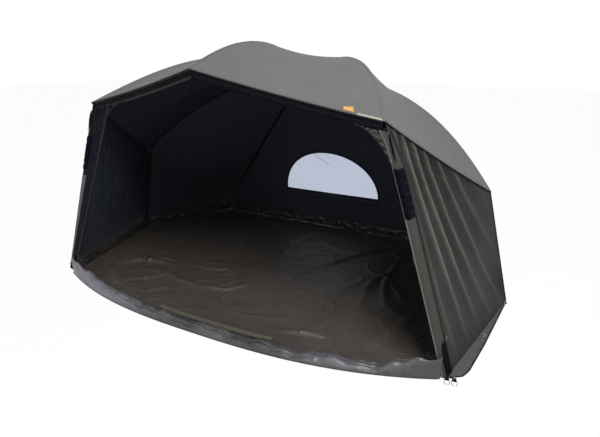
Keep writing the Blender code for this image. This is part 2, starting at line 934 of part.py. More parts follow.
joint_facts = []
strips = {}
for name, corner_rib, side_rib, way in (
    ("right", right_corner_rib, right_side_rib, 1),
    ("left", left_corner_rib, left_side_rib, -1),
):
    front_low = front_foot if way > 0 else mirrored(front_foot)
    rear_low = side_foot if way > 0 else mirrored(side_foot)
    strip = strip_frame(corner_rib, side_rib, front_low, rear_low, way)
    strips[name] = strip
    strip_rows = 12
    first = (front_band_drop + strip_top_gap) / strip["length"]
    rows = [
        strip_row(strip, first + (1 - first) * i / strip_rows, 0, 0)
        for i in range(strip_rows + 1)
    ]
    sheet("front_strip_" + name, rows, cloth, canopy_cloth)

    rows = []
    for i in range(5):
        drop = (strap_from_top + strap_length * i / 4) / strip["length"]
        rows.append(strip_row(strip, drop, strap_edge, cloth + touch_gap))
    sheet("rod_strap_" + name, rows, cloth, black_web)

    slider = box(
        "zip_slider_" + name,
        (slider_width, slider_length, slider_thickness),
        (0, 0, 0),
        dark_metal,
    )
    puller = box(
        "puller_" + name,
        (puller_length, puller_width, puller_thickness),
        (way * puller_length / 2, 0, 0),
        dark_metal,
    )
    drop = 1 - slider_from_foot / strip["length"]
    spot = strip["top"].lerp(strip["foot"], drop)
    spot = spot + strip["wall_way"] * (strip_side_width + slider_from_strip + slider_width / 2)
    spot = spot + strip["wall_out"] * ((cloth + slider_thickness) / 2 + touch_gap)
    place = basis(spot, strip["wall_way"] * way, strip["wall_out"])
    slider.matrix_world = place
    puller.matrix_world = place
    combine(slider, puller, "UNION")
    joint_facts.append(("slide " + name, spot, -strip["down"], strip["length"]))

# Orange tab on the roof's front edge, near the right corner
hem_length = (corner - peak).length
tab_rows = []
for share in (tab_top_share, tab_low_share):
    row = []
    for step in (-1, 1):
        across = tab_across_share + step * tab_width / hem_length / 2
        spot, normal = on_cloth(
            along_rib(front_rib), along_rib(right_corner_rib), share, across, sag_at(share, roof_sag)
        )
        row.append(spot + normal * (cloth * 0.75 + touch_gap * 2))
    tab_rows.append(row)
sheet("orange_tab", tab_rows, cloth / 2, orange_web)

# Webbing down the inside of each side corner
for name, way in (("right", 1), ("left", -1)):
    rib = right_side_rib if way > 0 else left_side_rib
    top = seam_point(rib, 1)
    foot = side_foot if way > 0 else mirrored(side_foot)
    front_low = front_foot if way > 0 else mirrored(front_foot)
    rear_low = rear_foot if way > 0 else mirrored(rear_foot)
    forward = (front_low - foot).normalized()
    backward = (rear_low - foot).normalized()
    inward = (forward + backward).normalized()
    sideways = (forward - backward).normalized()
    top_spot = inset_line(top, foot, webbing_top_drop) + inward * webbing_top_setback
    low_spot = foot + inward * webbing_setback + level(0, 0, webbing_foot_gap)
    rows = []
    for i in range(9):
        middle = top_spot.lerp(low_spot, i / 8)
        rows.append([
            middle - sideways * webbing_width / 2,
            middle,
            middle + sideways * webbing_width / 2,
        ])
    sheet("corner_webbing_" + name, rows, webbing, black_web)

# Storm poles, hinged under the front corner ribs
pole_empties = {}
for name, rib, way in (
    ("right", right_corner_rib, 1),
    ("left", left_corner_rib, -1),
):
    tip_share = share_at(rib, rib_hem_clearance + socket_length / 2, from_tip=True)
    middle = rib_point(rib, tip_share)
    tangent = (rib_point(rib, share_at(rib, rib_hem_clearance, from_tip=True)) - rib_point(
        rib, rib["end"]
    )).normalized()
    foot = level(
        way * (front_foot_x - pole_foot_inset_x), front_foot_y + pole_foot_inset_y, touch_gap * 3
    )
    rough = (foot - middle).normalized()
    drop_way = (rough - tangent * rough.dot(tangent)).normalized()
    hinge = middle + drop_way * socket_drop
    down = (foot - hinge).normalized()
    home_way = -rib["chord"].normalized()
    axis = down.cross(home_way).normalized()
    pole_length = (foot - hinge).length

    socket = rod(
        "pole_socket_" + name,
        socket_radius,
        -socket_length / 2,
        socket_length / 2,
        20,
        black_plastic,
    )
    socket.matrix_world = basis(middle, drop_way, tangent)
    ear_frame = basis(hinge, drop_way, axis)
    ear_reach = socket_drop
    for side in (-1, 1):
        middle_z = side * (tongue_thickness / 2 + touch_gap + ear_thickness / 2)
        ear = box(
            "ear_" + name + ("_a" if side < 0 else "_b"),
            (ear_reach + ear_half_width, ear_half_width * 2, ear_thickness),
            ((ear_half_width - ear_reach) / 2, 0, middle_z),
            black_plastic,
        )
        ear.matrix_world = ear_frame
        combine(socket, ear, "UNION")
    pin_half = tongue_thickness / 2 + touch_gap + ear_thickness
    pin = rod("pin_" + name, hinge_pin_radius, -pin_half, pin_half, 16, black_plastic)
    pin.matrix_world = ear_frame
    combine(socket, pin, "UNION")
    hang(socket, rib["empty"])

    pole_empty = joint_empty("pole_hinge_" + name, hinge, rib["empty"])
    pole_empties[name] = pole_empty
    fold = down.angle(home_way) * pole_fold_share
    joint_facts.append(("pole hinge " + name, hinge, axis, math.degrees(fold)))
    joint_facts.append(("pole slide " + name, foot, -down, pole_upper_length - pole_overlap))
    pole_frame = basis(hinge, axis, -down)
    upper_low = -(tongue_reach + pole_upper_length)
    upper_top = -tongue_reach
    upper = turned(
        "pole_upper_" + name,
        [
            (0, upper_top),
            (pole_radius * 0.7, upper_top),
            (pole_radius, upper_top - pole_radius * 0.3),
            (pole_radius, upper_low),
            (pole_bore_radius, upper_low),
            (pole_bore_radius, upper_top - pole_top_wall),
            (0, upper_top - pole_top_wall),
        ],
        20,
        dark_metal,
    )
    upper.matrix_world = pole_frame
    tongue = box(
        "tongue_" + name,
        (tongue_thickness, tongue_half_width * 2, tongue_reach + tongue_half_width + pole_top_wall / 2),
        (0, 0, (tongue_half_width - tongue_reach - pole_top_wall / 2) / 2),
        dark_metal,
    )
    tongue.matrix_world = pole_frame
    hole = rod(
        "hole_" + name,
        hinge_pin_radius + hinge_clearance,
        -tongue_thickness,
        tongue_thickness,
        16,
        dark_metal,
    )
    hole.matrix_world = ear_frame
    combine(upper, tongue, "UNION")
    combine(upper, hole, "DIFFERENCE")
    hang(upper, pole_empty)

    collar_bore = pole_radius + touch_gap
    collar_outer = pole_radius + collar_wall
    collar_top = upper_low + collar_length
    collar = turned(
        "pole_collar_" + name,
        [
            (collar_bore, collar_top),
            (collar_outer - collar_groove, collar_top),
            (collar_outer, collar_top - collar_groove),
            (collar_outer, upper_low + collar_groove),
            (collar_outer - collar_groove, upper_low),
            (collar_bore, upper_low),
        ],
        20,
        black_plastic,
        closed=True,
    )
    collar.matrix_world = pole_frame
    hang(collar, pole_empty)

    rod_low = -pole_length
    rod_top = upper_low + pole_overlap
    lower = turned(
        "pole_lower_" + name,
        [
            (0, rod_top),
            (rod_radius, rod_top),
            (rod_radius, rod_low + spike_length),
            (spike_tip_radius, rod_low + spike_tip_radius),
            (spike_tip_radius, rod_low),
            (0, rod_low),
        ],
        20,
        bright_metal,
    )
    lower.matrix_world = pole_frame
    hang(lower, pole_empty)


# Groundsheet: bowed front edge, sides and back just inside the canopy
def sheet_front(x):
    reach_share = min(abs(x) / sheet_bow_half_width, 1)
    return sheet_front_y + sheet_front_bow * reach_share**sheet_front_power


def inside(x, y, inset):
    # a point drawn in from the canopy's foot towards the middle of the floor
    spot = Vector((x, y))
    middle = Vector((0, room_middle.y))
    return spot + (middle - spot).normalized() * inset


front_steps = 24
outline = []
for i in range(front_steps + 1):
    x = sheet_shift_x + sheet_corner_x * (2 * i / front_steps - 1)
    outline.append((x, sheet_front(x)))
pole_foot_x = front_foot_x - pole_foot_inset_x
pole_foot_y = front_foot_y + pole_foot_inset_y
near_side = [
    (pole_foot_x - sheet_pole_gap, pole_foot_y - sheet_pole_gap * 0.6),
    (pole_foot_x - sheet_pole_gap, pole_foot_y + sheet_pole_gap),
    (front_foot_x - sheet_inset + sheet_pole_gap / 3, pole_foot_y + sheet_pole_gap * 1.6),
    tuple(inside(side_foot_x, side_foot_y, sheet_inset)),
    tuple(inside(rear_foot_x, rear_foot_y, sheet_inset)),
]
sheet_corner_y = pole_foot_y - sheet_pole_gap * 1.2
outline.append((sheet_shift_x + sheet_corner_x, sheet_corner_y))
outline += near_side
outline += [(-x, y) for x, y in reversed(near_side)]
outline.append((sheet_shift_x - sheet_corner_x, sheet_corner_y))
plate("groundsheet_floor", outline, 0, sheet_thickness, ground_cloth)

# Raised side and back walls of the groundsheet
tub_corners = [
    Vector((pole_foot_x - tub_start_in, pole_foot_y + tub_start_back)),
    Vector((near_side[2][0] - tub_inset * 2, near_side[2][1] + tub_inset)),
    inside(side_foot_x, side_foot_y, sheet_inset + tub_inset),
    inside(rear_foot_x, rear_foot_y, sheet_inset + tub_inset),
]
tub_path = tub_corners + [Vector((-spot.x, spot.y)) for spot in reversed(tub_corners)]
tub_rows = [[], [], []]
for a_spot, b_spot in zip(tub_path, tub_path[1:]):
    steps = 6
    for i in range(steps):
        tub_rows[0].append(a_spot.lerp(b_spot, i / steps))
tub_rows[0].append(tub_path[-1])
middle = Vector((0, room_middle.y))
flat_path = tub_rows[0]
for k, rise in enumerate((0, 0.5, 1)):
    row = []
    for spot in flat_path:
        lean = (middle - spot).normalized() * tub_lean * rise
        z = sheet_thickness + touch_gap + (tub_height - sheet_thickness) * rise
        row.append(level(spot.x + lean.x, spot.y + lean.y, z))
    tub_rows[k] = row
sheet("groundsheet_sides", tub_rows, tub_wall, ground_cloth)

# Front lip of the groundsheet: a soft folded band along the bowed edge
lip_shape = bmesh.new()
lip_rings = []
lip_stations = 40
lip_sides = 10
lip_half = sheet_corner_x - lip_end_gap
lip_foot = sheet_thickness + touch_gap
for i in range(lip_stations + 1):
    run = 2 * i / lip_stations - 1
    x = sheet_shift_x + lip_half * run
    end_share = min((1 - abs(run)) * 6 + 0.10, 1)
    near_end = max(abs(run) - lip_end_share, 0) / (1 - lip_end_share)
    height = lip_height + (lip_end_height - lip_height) * near_end
    swell = 1 + 0.22 * math.sin(x * 23 / lip_half) + 0.16 * math.sin(x * 61 / lip_half + 1)
    ring = []
    for j in range(lip_sides):
        turn = 2 * math.pi * j / lip_sides
        reach_y = (1 - math.cos(turn)) / 2 * lip_width * end_share
        rise = max(math.sin(turn), 0) * height * (1 + (swell - 1) * end_share)
        ripple = lip_fold * math.sin(x * 97 / lip_half + j) * max(math.sin(turn), 0) * end_share
        rise = max(rise + ripple * max(math.sin(turn), 0), 0)
        ring.append(lip_shape.verts.new((x, sheet_front(x) + cloth + reach_y, lip_foot + rise)))
    lip_rings.append(ring)
for a_ring, b_ring in zip(lip_rings, lip_rings[1:]):
    for j in range(lip_sides):
        k = (j + 1) % lip_sides
        lip_shape.faces.new((a_ring[j], a_ring[k], b_ring[k], b_ring[j]))
lip_shape.faces.new(lip_rings[0])
lip_shape.faces.new(lip_rings[-1])
from_bmesh(lip_shape, "groundsheet_lip", ground_cloth)

# Side flaps lying on the ground outside the walls
wall_line = (side_foot - front_foot).normalized()
wall_side = level(-wall_line.y, wall_line.x, 0).normalized()
if wall_side.x < 0:
    wall_side = -wall_side
flap_run = (side_foot - front_foot).length
flap_ring = [front_foot + wall_line * flap_tuck * 2 - wall_side * flap_tuck]
for along_share, across_share in zip(flap_along_shares, flap_across_shares):
    flap_ring.append(
        front_foot + wall_line * flap_run * along_share + wall_side * flap_width * across_share
    )
flap_ring.append(side_foot - wall_line * flap_tuck - wall_side * flap_tuck)
for name, way in (("right", 1), ("left", -1)):
    flap = [(way * spot.x, spot.y) for spot in flap_ring]
    plate("side_flap_" + name, flap, touch_gap * 2, cloth, canopy_cloth)

# Peg tabs with two D rings at each front foot
peg_eye_z = peg_eye_radius + touch_gap * 2
peg_flat_z = peg_thickness / 2 + touch_gap * 2
peg_turn = math.radians(peg_turn_degrees)
flap_top = touch_gap * 2 + cloth
right_peg_spot = level(front_foot_x + peg_from_foot_x, front_foot_y + peg_from_foot_y, 0)
right_peg_frame = basis(
    right_peg_spot, level(math.cos(peg_turn), math.sin(peg_turn), 0), level(0, 0, 1)
)
left_peg_spot = front_foot + wall_line * peg_back_along + wall_side * peg_back_out
left_peg_spot = level(-left_peg_spot.x, left_peg_spot.y, flap_top)
left_peg_frame = basis(left_peg_spot, mirrored(wall_side), level(0, 0, 1))
for name, frame in (("right", right_peg_frame), ("left", left_peg_frame)):
    strap = box(
        "peg_tabs_" + name,
        (peg_spread + peg_width, peg_root_depth, peg_thickness),
        (peg_spread / 2, -peg_root_depth / 2, peg_flat_z),
        black_web,
    )
    strap.matrix_world = frame
    for k in range(2):
        offset = peg_spread * k
        tongue = box(
            "peg_tongue_" + name + str(k),
            (peg_width, peg_length, peg_thickness),
            (offset, -peg_length / 2, peg_flat_z),
            black_web,
        )
        tongue.matrix_world = frame
        eye = rod(
            "peg_eye_" + name + str(k),
            peg_eye_radius,
            -peg_width / 2,
            peg_width / 2,
            16,
            black_web,
        )
        eye_at = frame @ level(offset, -peg_length, peg_eye_z)
        across = frame.to_3x3() @ level(1, 0, 0)
        ahead = frame.to_3x3() @ level(0, -1, 0)
        eye_frame = basis(eye_at, level(0, 0, 1), across)
        eye.matrix_world = eye_frame
        bore = rod(
            "peg_bore_" + name + str(k), peg_eye_bore, -peg_width, peg_width, 16, black_web
        )
        bore.matrix_world = eye_frame
        combine(strap, tongue, "UNION")
        combine(strap, eye, "UNION")
        combine(strap, bore, "DIFFERENCE")

        ring_empty = joint_empty("ring_hinge_" + name + str(k), eye_at, pole_empties[name])
        joint_facts.append(("ring " + name + str(k), eye_at, -across, ring_height))
        toe_drop = peg_eye_z - ring_wire - ring_toe_lift
        slope = math.asin(toe_drop / ring_height)
        reaches = [(-ring_half_width, 0), (ring_half_width, 0)]
        arc_steps = 14
        shoulder = ring_height - ring_half_width
        for i in range(arc_steps + 1):
            turn = math.pi * i / arc_steps
            reaches.append((
                ring_half_width * math.cos(turn), shoulder + ring_half_width * math.sin(turn)
            ))
        lying = ahead * math.cos(slope) - level(0, 0, math.sin(slope))
        knots = [eye_at + across * wide + lying * reach for wide, reach in reaches]
        ring = tube(
            "d_ring_" + name + ("_inner" if k == 0 else "_outer"),
            knots,
            ring_wire,
            1,
            bright_metal,
            eye_at,
            cyclic=True,
        )
        hang(ring, ring_empty)

bpy.context.view_layer.update()
for rib in ribs:
    joint_facts.append((rib["name"], rib["pivot"], rib["axis"], math.degrees(rib["angle"])))
for name, point, way, size in joint_facts:
    print(name, [round(v, 5) for v in point], [round(v, 5) for v in way], round(size, 4))
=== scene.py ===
import json
import math

import bmesh
import bpy
from mathutils import Matrix, Vector, noise

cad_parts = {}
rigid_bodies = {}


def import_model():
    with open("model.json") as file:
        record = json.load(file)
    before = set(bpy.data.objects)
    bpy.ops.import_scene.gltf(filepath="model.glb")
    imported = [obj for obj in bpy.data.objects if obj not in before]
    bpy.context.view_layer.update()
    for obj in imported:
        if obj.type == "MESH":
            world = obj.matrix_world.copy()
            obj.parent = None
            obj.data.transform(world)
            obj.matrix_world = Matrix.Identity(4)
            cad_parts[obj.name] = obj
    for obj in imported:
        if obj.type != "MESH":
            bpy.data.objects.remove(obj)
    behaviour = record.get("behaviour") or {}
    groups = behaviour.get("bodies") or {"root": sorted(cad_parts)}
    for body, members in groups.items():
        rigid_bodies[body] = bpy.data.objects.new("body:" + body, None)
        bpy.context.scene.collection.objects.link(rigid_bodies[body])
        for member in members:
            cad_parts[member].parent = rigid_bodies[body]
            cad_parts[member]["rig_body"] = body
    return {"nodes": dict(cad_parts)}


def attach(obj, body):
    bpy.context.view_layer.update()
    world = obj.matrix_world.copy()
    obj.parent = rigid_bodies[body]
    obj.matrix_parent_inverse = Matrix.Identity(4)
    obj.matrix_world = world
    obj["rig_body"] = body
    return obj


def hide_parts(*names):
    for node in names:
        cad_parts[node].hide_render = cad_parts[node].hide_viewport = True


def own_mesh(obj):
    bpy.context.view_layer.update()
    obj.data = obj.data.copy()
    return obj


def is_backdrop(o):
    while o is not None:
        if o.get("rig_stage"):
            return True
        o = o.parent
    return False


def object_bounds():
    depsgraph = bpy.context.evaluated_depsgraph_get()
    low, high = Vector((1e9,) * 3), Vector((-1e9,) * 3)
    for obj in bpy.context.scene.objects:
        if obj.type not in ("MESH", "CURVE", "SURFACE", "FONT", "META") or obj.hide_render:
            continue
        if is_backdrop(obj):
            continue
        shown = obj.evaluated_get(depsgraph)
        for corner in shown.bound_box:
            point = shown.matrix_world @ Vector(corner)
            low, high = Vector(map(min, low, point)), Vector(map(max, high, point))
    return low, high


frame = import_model()
cadLow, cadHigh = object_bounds()
nodes = frame["nodes"]
bodyOf = {name: item["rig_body"] for name, item in nodes.items()}

for item in list(bpy.data.objects):  # whatever a fresh file starts with
    if item.name not in nodes and not item.name.startswith("body:"):
        bpy.data.objects.remove(item, do_unlink=True)

# the camera, where the photograph was taken from

view = {
    "place": (1.3948, -2.3347, 1.3379),
    "yaw": 0.4719,
    "pitch": 0.3436,
    "lens": 27.48,
}
cameraData = bpy.data.cameras.new("photoCamera")
cameraData.lens = view["lens"]
cameraData.sensor_width = 36
cameraData.clip_end = 60
camera = bpy.data.objects.new("photoCamera", cameraData)
bpy.context.scene.collection.objects.link(camera)
bpy.context.scene.camera = camera
ahead = Vector((
    -math.sin(view["yaw"]) * math.cos(view["pitch"]),
    math.cos(view["yaw"]) * math.cos(view["pitch"]),
    -math.sin(view["pitch"]),
))
camera.location = view["place"]
camera.rotation_mode = "QUATERNION"
camera.rotation_quaternion = ahead.to_track_quat("-Z", "Y")
bpy.context.scene.view_settings.view_transform = "Standard"


# materials

class Wire:  # one output of a node, with arithmetic on it
    def __init__(self, owner, socket):
        self.owner = owner
        self.socket = socket

    def reckon(self, operation, other, flipped=False):
        pair = (other, self) if flipped else (self, other)
        return self.owner.add("ShaderNodeMath", {"operation": operation}, *pair)

    def __add__(self, other):
        return self.reckon("ADD", other)

    def __sub__(self, other):
        return self.reckon("SUBTRACT", other)

    def __mul__(self, other):
        return self.reckon("MULTIPLY", other)

    def __truediv__(self, other):
        return self.reckon("DIVIDE", other)

    def __pow__(self, other):
        return self.reckon("POWER", other)

    def __rsub__(self, other):
        return self.reckon("SUBTRACT", other, True)

    def __rtruediv__(self, other):
        return self.reckon("DIVIDE", other, True)

    __radd__ = __add__
    __rmul__ = __mul__


class Nodes:  # a node tree, and the ways to put nodes in it
    def __init__(self, tree):
        self.tree = tree

    def feed(self, socket, value):
        if isinstance(value, Wire):
            self.tree.links.new(value.socket, socket)
        else:
            socket.default_value = value

    def add(self, kind, setup, *values, out=0, **named):
        node = self.tree.nodes.new(kind)
        for key, value in setup.items():
            setattr(node, key, value)
        for place, value in enumerate(values):
            if value is not None:
                self.feed(node.inputs[place], value)
        for key, value in named.items():
            self.feed(node.inputs[key.replace("_", " ")], value)
        return Wire(self, node.outputs[out]) if node.outputs else None

    def larger(self, first, second):
        return self.add("ShaderNodeMath", {"operation": "MAXIMUM"}, first, second)


class Shade(Nodes):  # one material and its surface
    def __init__(self, name, **plain):
        self.material = bpy.data.materials.new(name)
        self.material.use_nodes = True
        super().__init__(self.material.node_tree)
        self.surface = next(n for n in self.tree.nodes if n.type == "BSDF_PRINCIPLED")
        self.wear(**plain)

    def wear(self, **values):
        for key, value in values.items():
            self.feed(self.surface.inputs[key.replace("_", " ")], value)
        return self.material

    def sine(self, value):
        return self.add("ShaderNodeMath", {"operation": "SINE"}, value)

    def size(self, value):
        return self.add("ShaderNodeMath", {"operation": "ABSOLUTE"}, value)

    def clamp(self, value):
        return self.add("ShaderNodeClamp", {}, value, 0.0, 1.0)

    def mix(self, share, first, second):
        others = (None,) * 5  # the node's sockets for numbers and vectors
        return self.add(
            "ShaderNodeMix", {"data_type": "RGBA"}, share, *others, colour(first), colour(second), out=2
        )

    def place(self, scale=(1, 1, 1), turn=(0, 0, 0)):
        spot = self.add("ShaderNodeTexCoord", {}, out="Object")
        if scale == (1, 1, 1) and turn == (0, 0, 0):
            return spot
        return self.add("ShaderNodeMapping", {}, spot, Rotation=turn, Scale=scale)

    def weaveAxes(self):
        across = self.add("ShaderNodeSeparateXYZ", {}, self.add("ShaderNodeTexCoord", {}, out="UV"))
        return across, Wire(self, across.socket.node.outputs["Y"])

    def weave(self, pitch):
        u, v = self.weaveAxes()
        return self.sine(u * (math.pi / pitch)) * self.sine(v * (math.pi / pitch))

    def crest(self):  # the painted light or shade that the mesh carries for this material, from 0 to 1
        return self.add("ShaderNodeAttribute", {"attribute_name": "crest"}, out="Fac")

    def noise(self, where, scale, detail=3.0, roughness=0.5, bend=0.0):
        return self.add(
            "ShaderNodeTexNoise", {}, Vector=where, Scale=scale, Detail=detail,
            Roughness=roughness, Distortion=bend,
        )

    def ridges(self, where, scale, bend, sharpness):
        soft = self.noise(where, scale, 2.0, 0.45, bend)
        return (1 - self.size(soft * 2 - 1)) ** sharpness

    def bumps(self, *layers):  # the height, depth and strength of each, the broadest first
        under = {}
        for height, depth, strength in layers:
            normal = self.add("ShaderNodeBump", {}, Strength=strength, Distance=depth, Height=height, **under)
            under = {"Normal": normal}
        return normal


def colour(rgb):
    return (*rgb, 1.0)


clothLooks = {
    "weavePitch": 0.0016,  # one thread over and under, in metres
    "weaveDepth": 0.00012,
    "creaseScale": 7.0,
    "creaseDepth": 0.010,
    "crumpleScale": 26.0,
    "crumpleDepth": 0.0020,
    "sheenRoughness": 0.45,
}


def clothMaterial(name, light, dark, roughness, crease=1.0, crumple=1.0, sheen=0.0, paintedCrestLight=0.0, gloss=0.3):
    # this lightens the crests of the folds as a painted highlight, and darkens the rest as painted shade
    shade = Shade(name, Specular_IOR_Level=gloss)
    where = shade.place()
    broad = shade.noise(where, 1.7, 3.0, 0.55, 0.3)
    fine = shade.noise(where, 90.0, 2.0, 0.6)
    weave = shade.weave(clothLooks["weavePitch"])
    creases = shade.ridges(where, clothLooks["creaseScale"], 0.6, 5.0)
    crumples = shade.ridges(where, clothLooks["crumpleScale"], 0.3, 3.0)
    tone = shade.clamp(broad * 1.3 - 0.15 + (fine - 0.5) * 0.35 + weave * 0.06 - creases * 0.10)
    if paintedCrestLight:
        tone = shade.clamp(tone * (1 - paintedCrestLight * 0.5) + shade.crest() * paintedCrestLight)
    if sheen:
        shade.wear(Sheen_Weight=sheen, Sheen_Roughness=clothLooks["sheenRoughness"])
    return shade.wear(
        Base_Color=shade.mix(tone, dark, light),
        Roughness=shade.clamp(roughness + (broad - 0.5) * 0.14 - creases * 0.05),
        Normal=shade.bumps(
            (creases, clothLooks["creaseDepth"] * crease, 0.55),
            (crumples, clothLooks["crumpleDepth"] * crumple, 0.5),
            (weave, clothLooks["weaveDepth"], 0.5),
        ),
    )


roofCloth = clothMaterial(
    "roofCloth", (0.124, 0.124, 0.122), (0.094, 0.094, 0.092), 0.66, 0.35, 0.5, sheen=0.05, gloss=0.12
)
# the side walls: the roof's fabric darkened as painted shade, with painted highlights on the fold crests
wallCloth = clothMaterial(
    "wallCloth", (0.110, 0.112, 0.101), (0.0030, 0.0034, 0.0026), 0.74, 0.5, 0.6, paintedCrestLight=1.15, gloss=0.15
)
stripCloth = clothMaterial(
    "stripCloth", (0.047, 0.047, 0.041), (0.029, 0.029, 0.025), 0.74, 0.5, 0.8, gloss=0.2
)
flapCloth = clothMaterial("flapCloth", (0.094, 0.094, 0.090), (0.070, 0.070, 0.067), 0.80, 0.5, 0.8, gloss=0.1)
liningCloth = clothMaterial(
    "liningCloth", (0.046, 0.053, 0.066), (0.029, 0.034, 0.043), 0.62, 0.8, 0.8, gloss=0.1
)
# near-black navy for the left strip's front and its corner fill: painted shade
shadeCloth = clothMaterial(
    "shadeCloth", (0.0030, 0.0034, 0.0100), (0.0014, 0.0016, 0.0050), 0.62, 0.9, 1.2, gloss=0.04
)
bandCloth = clothMaterial(
    "bandCloth", (0.0075, 0.0076, 0.0110), (0.0040, 0.0041, 0.0060), 0.66, 0.9, 1.0, gloss=0.05
)
borderCloth = clothMaterial(
    "borderCloth", (0.0150, 0.0160, 0.0150), (0.0100, 0.0108, 0.0102), 0.70, 0.5, 0.8, gloss=0.06
)
trimCloth = clothMaterial("trimCloth", (0.034, 0.036, 0.034), (0.022, 0.024, 0.023), 0.70, 0.5, 0.8, gloss=0.1)

groundLooks = {
    "weavePitch": 0.0022,
    "weaveDepth": 0.0001,
    "creaseDepth": 0.010,
    "crossingDepth": 0.004,
    "crumpleDepth": 0.0016,
    "crossingScale": (1.0, 1.8, 1.0),
    "crossingTurn": (0, 0, 0.7),
}


def groundMaterial(name, light, dark, roughness, crease, crumple, creaseScale=2.4, paintedSheen=False):
    shade = Shade(name, Specular_IOR_Level=0.4)
    where = shade.place()
    crossWays = shade.place(groundLooks["crossingScale"], groundLooks["crossingTurn"])
    broad = shade.noise(where, 2.3, 4.0, 0.6, 0.5)
    dust = shade.noise(where, 34.0, 4.0, 0.65)
    creases = shade.ridges(where, creaseScale, 0.5, 14.0)
    crossings = shade.ridges(crossWays, creaseScale * 1.9, 0.4, 12.0)
    crumples = shade.ridges(where, creaseScale * 7, 0.4, 3.0)
    weave = shade.weave(groundLooks["weavePitch"])
    tone = shade.clamp(broad * 1.2 - 0.1 + (dust - 0.5) * 0.5 + creases * 0.07 + crossings * 0.05)
    if paintedSheen:  # painted sheen: its strength along the lip comes from the mesh
        tone = shade.clamp(shade.crest() * 0.8 + (tone - 0.5) * 0.5)
    return shade.wear(
        Base_Color=shade.mix(tone, dark, light),
        Roughness=shade.clamp(roughness + (dust - 0.5) * 0.16 - creases * 0.08),
        Normal=shade.bumps(
            (creases, groundLooks["creaseDepth"] * crease, 0.6),
            (crossings, groundLooks["crossingDepth"] * crease, 0.5),
            (crumples, groundLooks["crumpleDepth"] * crumple, 0.5),
            (weave, groundLooks["weaveDepth"], 0.5),
        ),
    )


floorCloth = groundMaterial("floorCloth", (0.074, 0.064, 0.055), (0.039, 0.033, 0.029), 0.48, 1.3, 1.2)
# the lip's pale lavender colour is a painted sheen, a painted reflection
lipCloth = groundMaterial(
    "lipCloth", (0.205, 0.198, 0.230), (0.038, 0.033, 0.033), 0.42, 0.45, 0.35, 3.2, paintedSheen=True
)
# the raised side: a darker copy of the floor's cloth, painted shade
tubCloth = groundMaterial("tubCloth", (0.050, 0.045, 0.039), (0.017, 0.0155, 0.014), 0.44, 1.0, 1.0, 4.5)


def webbingMaterial(name, light, dark, ribPitch=0.0030):
    shade = Shade(name, Specular_IOR_Level=0.02)
    u, v = shade.weaveAxes()
    cords = shade.sine(v * (math.pi / ribPitch))
    picks = shade.sine(u * (math.pi / (ribPitch * 0.45)) + cords * 1.4)
    fuzz = shade.noise(shade.place(), 220.0, 2.0, 0.7)
    return shade.wear(
        Base_Color=shade.mix(
            shade.clamp(cords * cords * 0.55 + picks * 0.2 + (fuzz - 0.5) * 0.7 + 0.1), dark, light
        ),
        Roughness=shade.clamp(0.72 + (fuzz - 0.5) * 0.2),
        Normal=shade.bumps((cords * cords, 0.0004, 0.7), (picks, 0.0002, 0.6)),
    )


blackWebbing = webbingMaterial("blackWebbing", (0.0055, 0.0057, 0.0100), (0.0016, 0.0017, 0.0032))
liningWebbing = webbingMaterial("liningWebbing", (0.034, 0.038, 0.046), (0.015, 0.017, 0.021))
orangeWebbing = webbingMaterial("orangeWebbing", (0.780, 0.420, 0.180), (0.580, 0.270, 0.090), 0.0022)
greenTape = webbingMaterial("greenTape", (0.108, 0.105, 0.082), (0.076, 0.074, 0.058))
paleTape = webbingMaterial("paleTape", (0.400, 0.385, 0.320), (0.290, 0.280, 0.230))
edgeTape = webbingMaterial("edgeTape", (0.006, 0.006, 0.008), (0.003, 0.003, 0.004), 0.0022)


def metalMaterial(name, light, dark, roughness, grain=(1, 1, 1)):
    shade = Shade(name, Metallic=1.0)
    long = shade.noise(shade.place(grain), 60.0, 3.0, 0.6)
    spots = shade.noise(shade.place(), 38.0, 4.0, 0.7)
    return shade.wear(
        Base_Color=shade.mix(shade.clamp(long * 0.8 + (spots - 0.5) * 0.8 + 0.1), dark, light),
        Roughness=shade.clamp(roughness + (long - 0.5) * 0.20 + (spots - 0.5) * 0.16),
        Normal=shade.bumps((long, 0.00015, 0.5)),
    )


darkTube = metalMaterial("darkTube", (0.075, 0.077, 0.082), (0.030, 0.031, 0.034), 0.36, (1, 1, 8))
brightTube = metalMaterial("brightTube", (0.640, 0.640, 0.630), (0.420, 0.420, 0.410), 0.26, (1, 1, 7))
ringMetal = metalMaterial("ringMetal", (0.400, 0.395, 0.385), (0.220, 0.215, 0.205), 0.30)
zipMetal = metalMaterial("zipMetal", (0.120, 0.120, 0.125), (0.040, 0.040, 0.043), 0.34)


def mouldedMaterial(name, light, dark):
    shade = Shade(name, Specular_IOR_Level=0.45)
    where = shade.place()
    grain = shade.noise(where, 700.0, 2.0, 0.6)
    scuffs = shade.noise(where, 45.0, 4.0, 0.75, 0.4)
    return shade.wear(
        Base_Color=shade.mix(shade.clamp(scuffs ** 3.0 * 1.6 + (grain - 0.5) * 0.3), dark, light),
        Roughness=shade.clamp(0.46 + (scuffs - 0.5) * 0.22),
        Normal=shade.bumps((grain, 0.0002, 0.4)),
    )


blackNylon = mouldedMaterial("blackNylon", (0.045, 0.045, 0.047), (0.011, 0.011, 0.012))


def filmMaterial(name, creased, clear):
    shade = Shade(name, IOR=1.12, Transmission_Weight=1.0, Specular_IOR_Level=0.3)
    where = shade.place()
    ripple = shade.noise(where, 7.0, 3.0, 0.5, 0.5)
    haze = shade.noise(where, 2.6, 3.0, 0.5)
    # dark lines along the film's creases are painted shade; the same values also raise the bump
    crease = shade.crest()
    return shade.wear(
        Base_Color=shade.mix(shade.clamp(crease + (haze - 0.5) * 0.30 + 0.05), clear, creased),
        Roughness=shade.clamp(0.10 + haze * 0.10),
        Normal=shade.bumps((ripple + crease * 0.6, 0.003, 0.4)),
    )


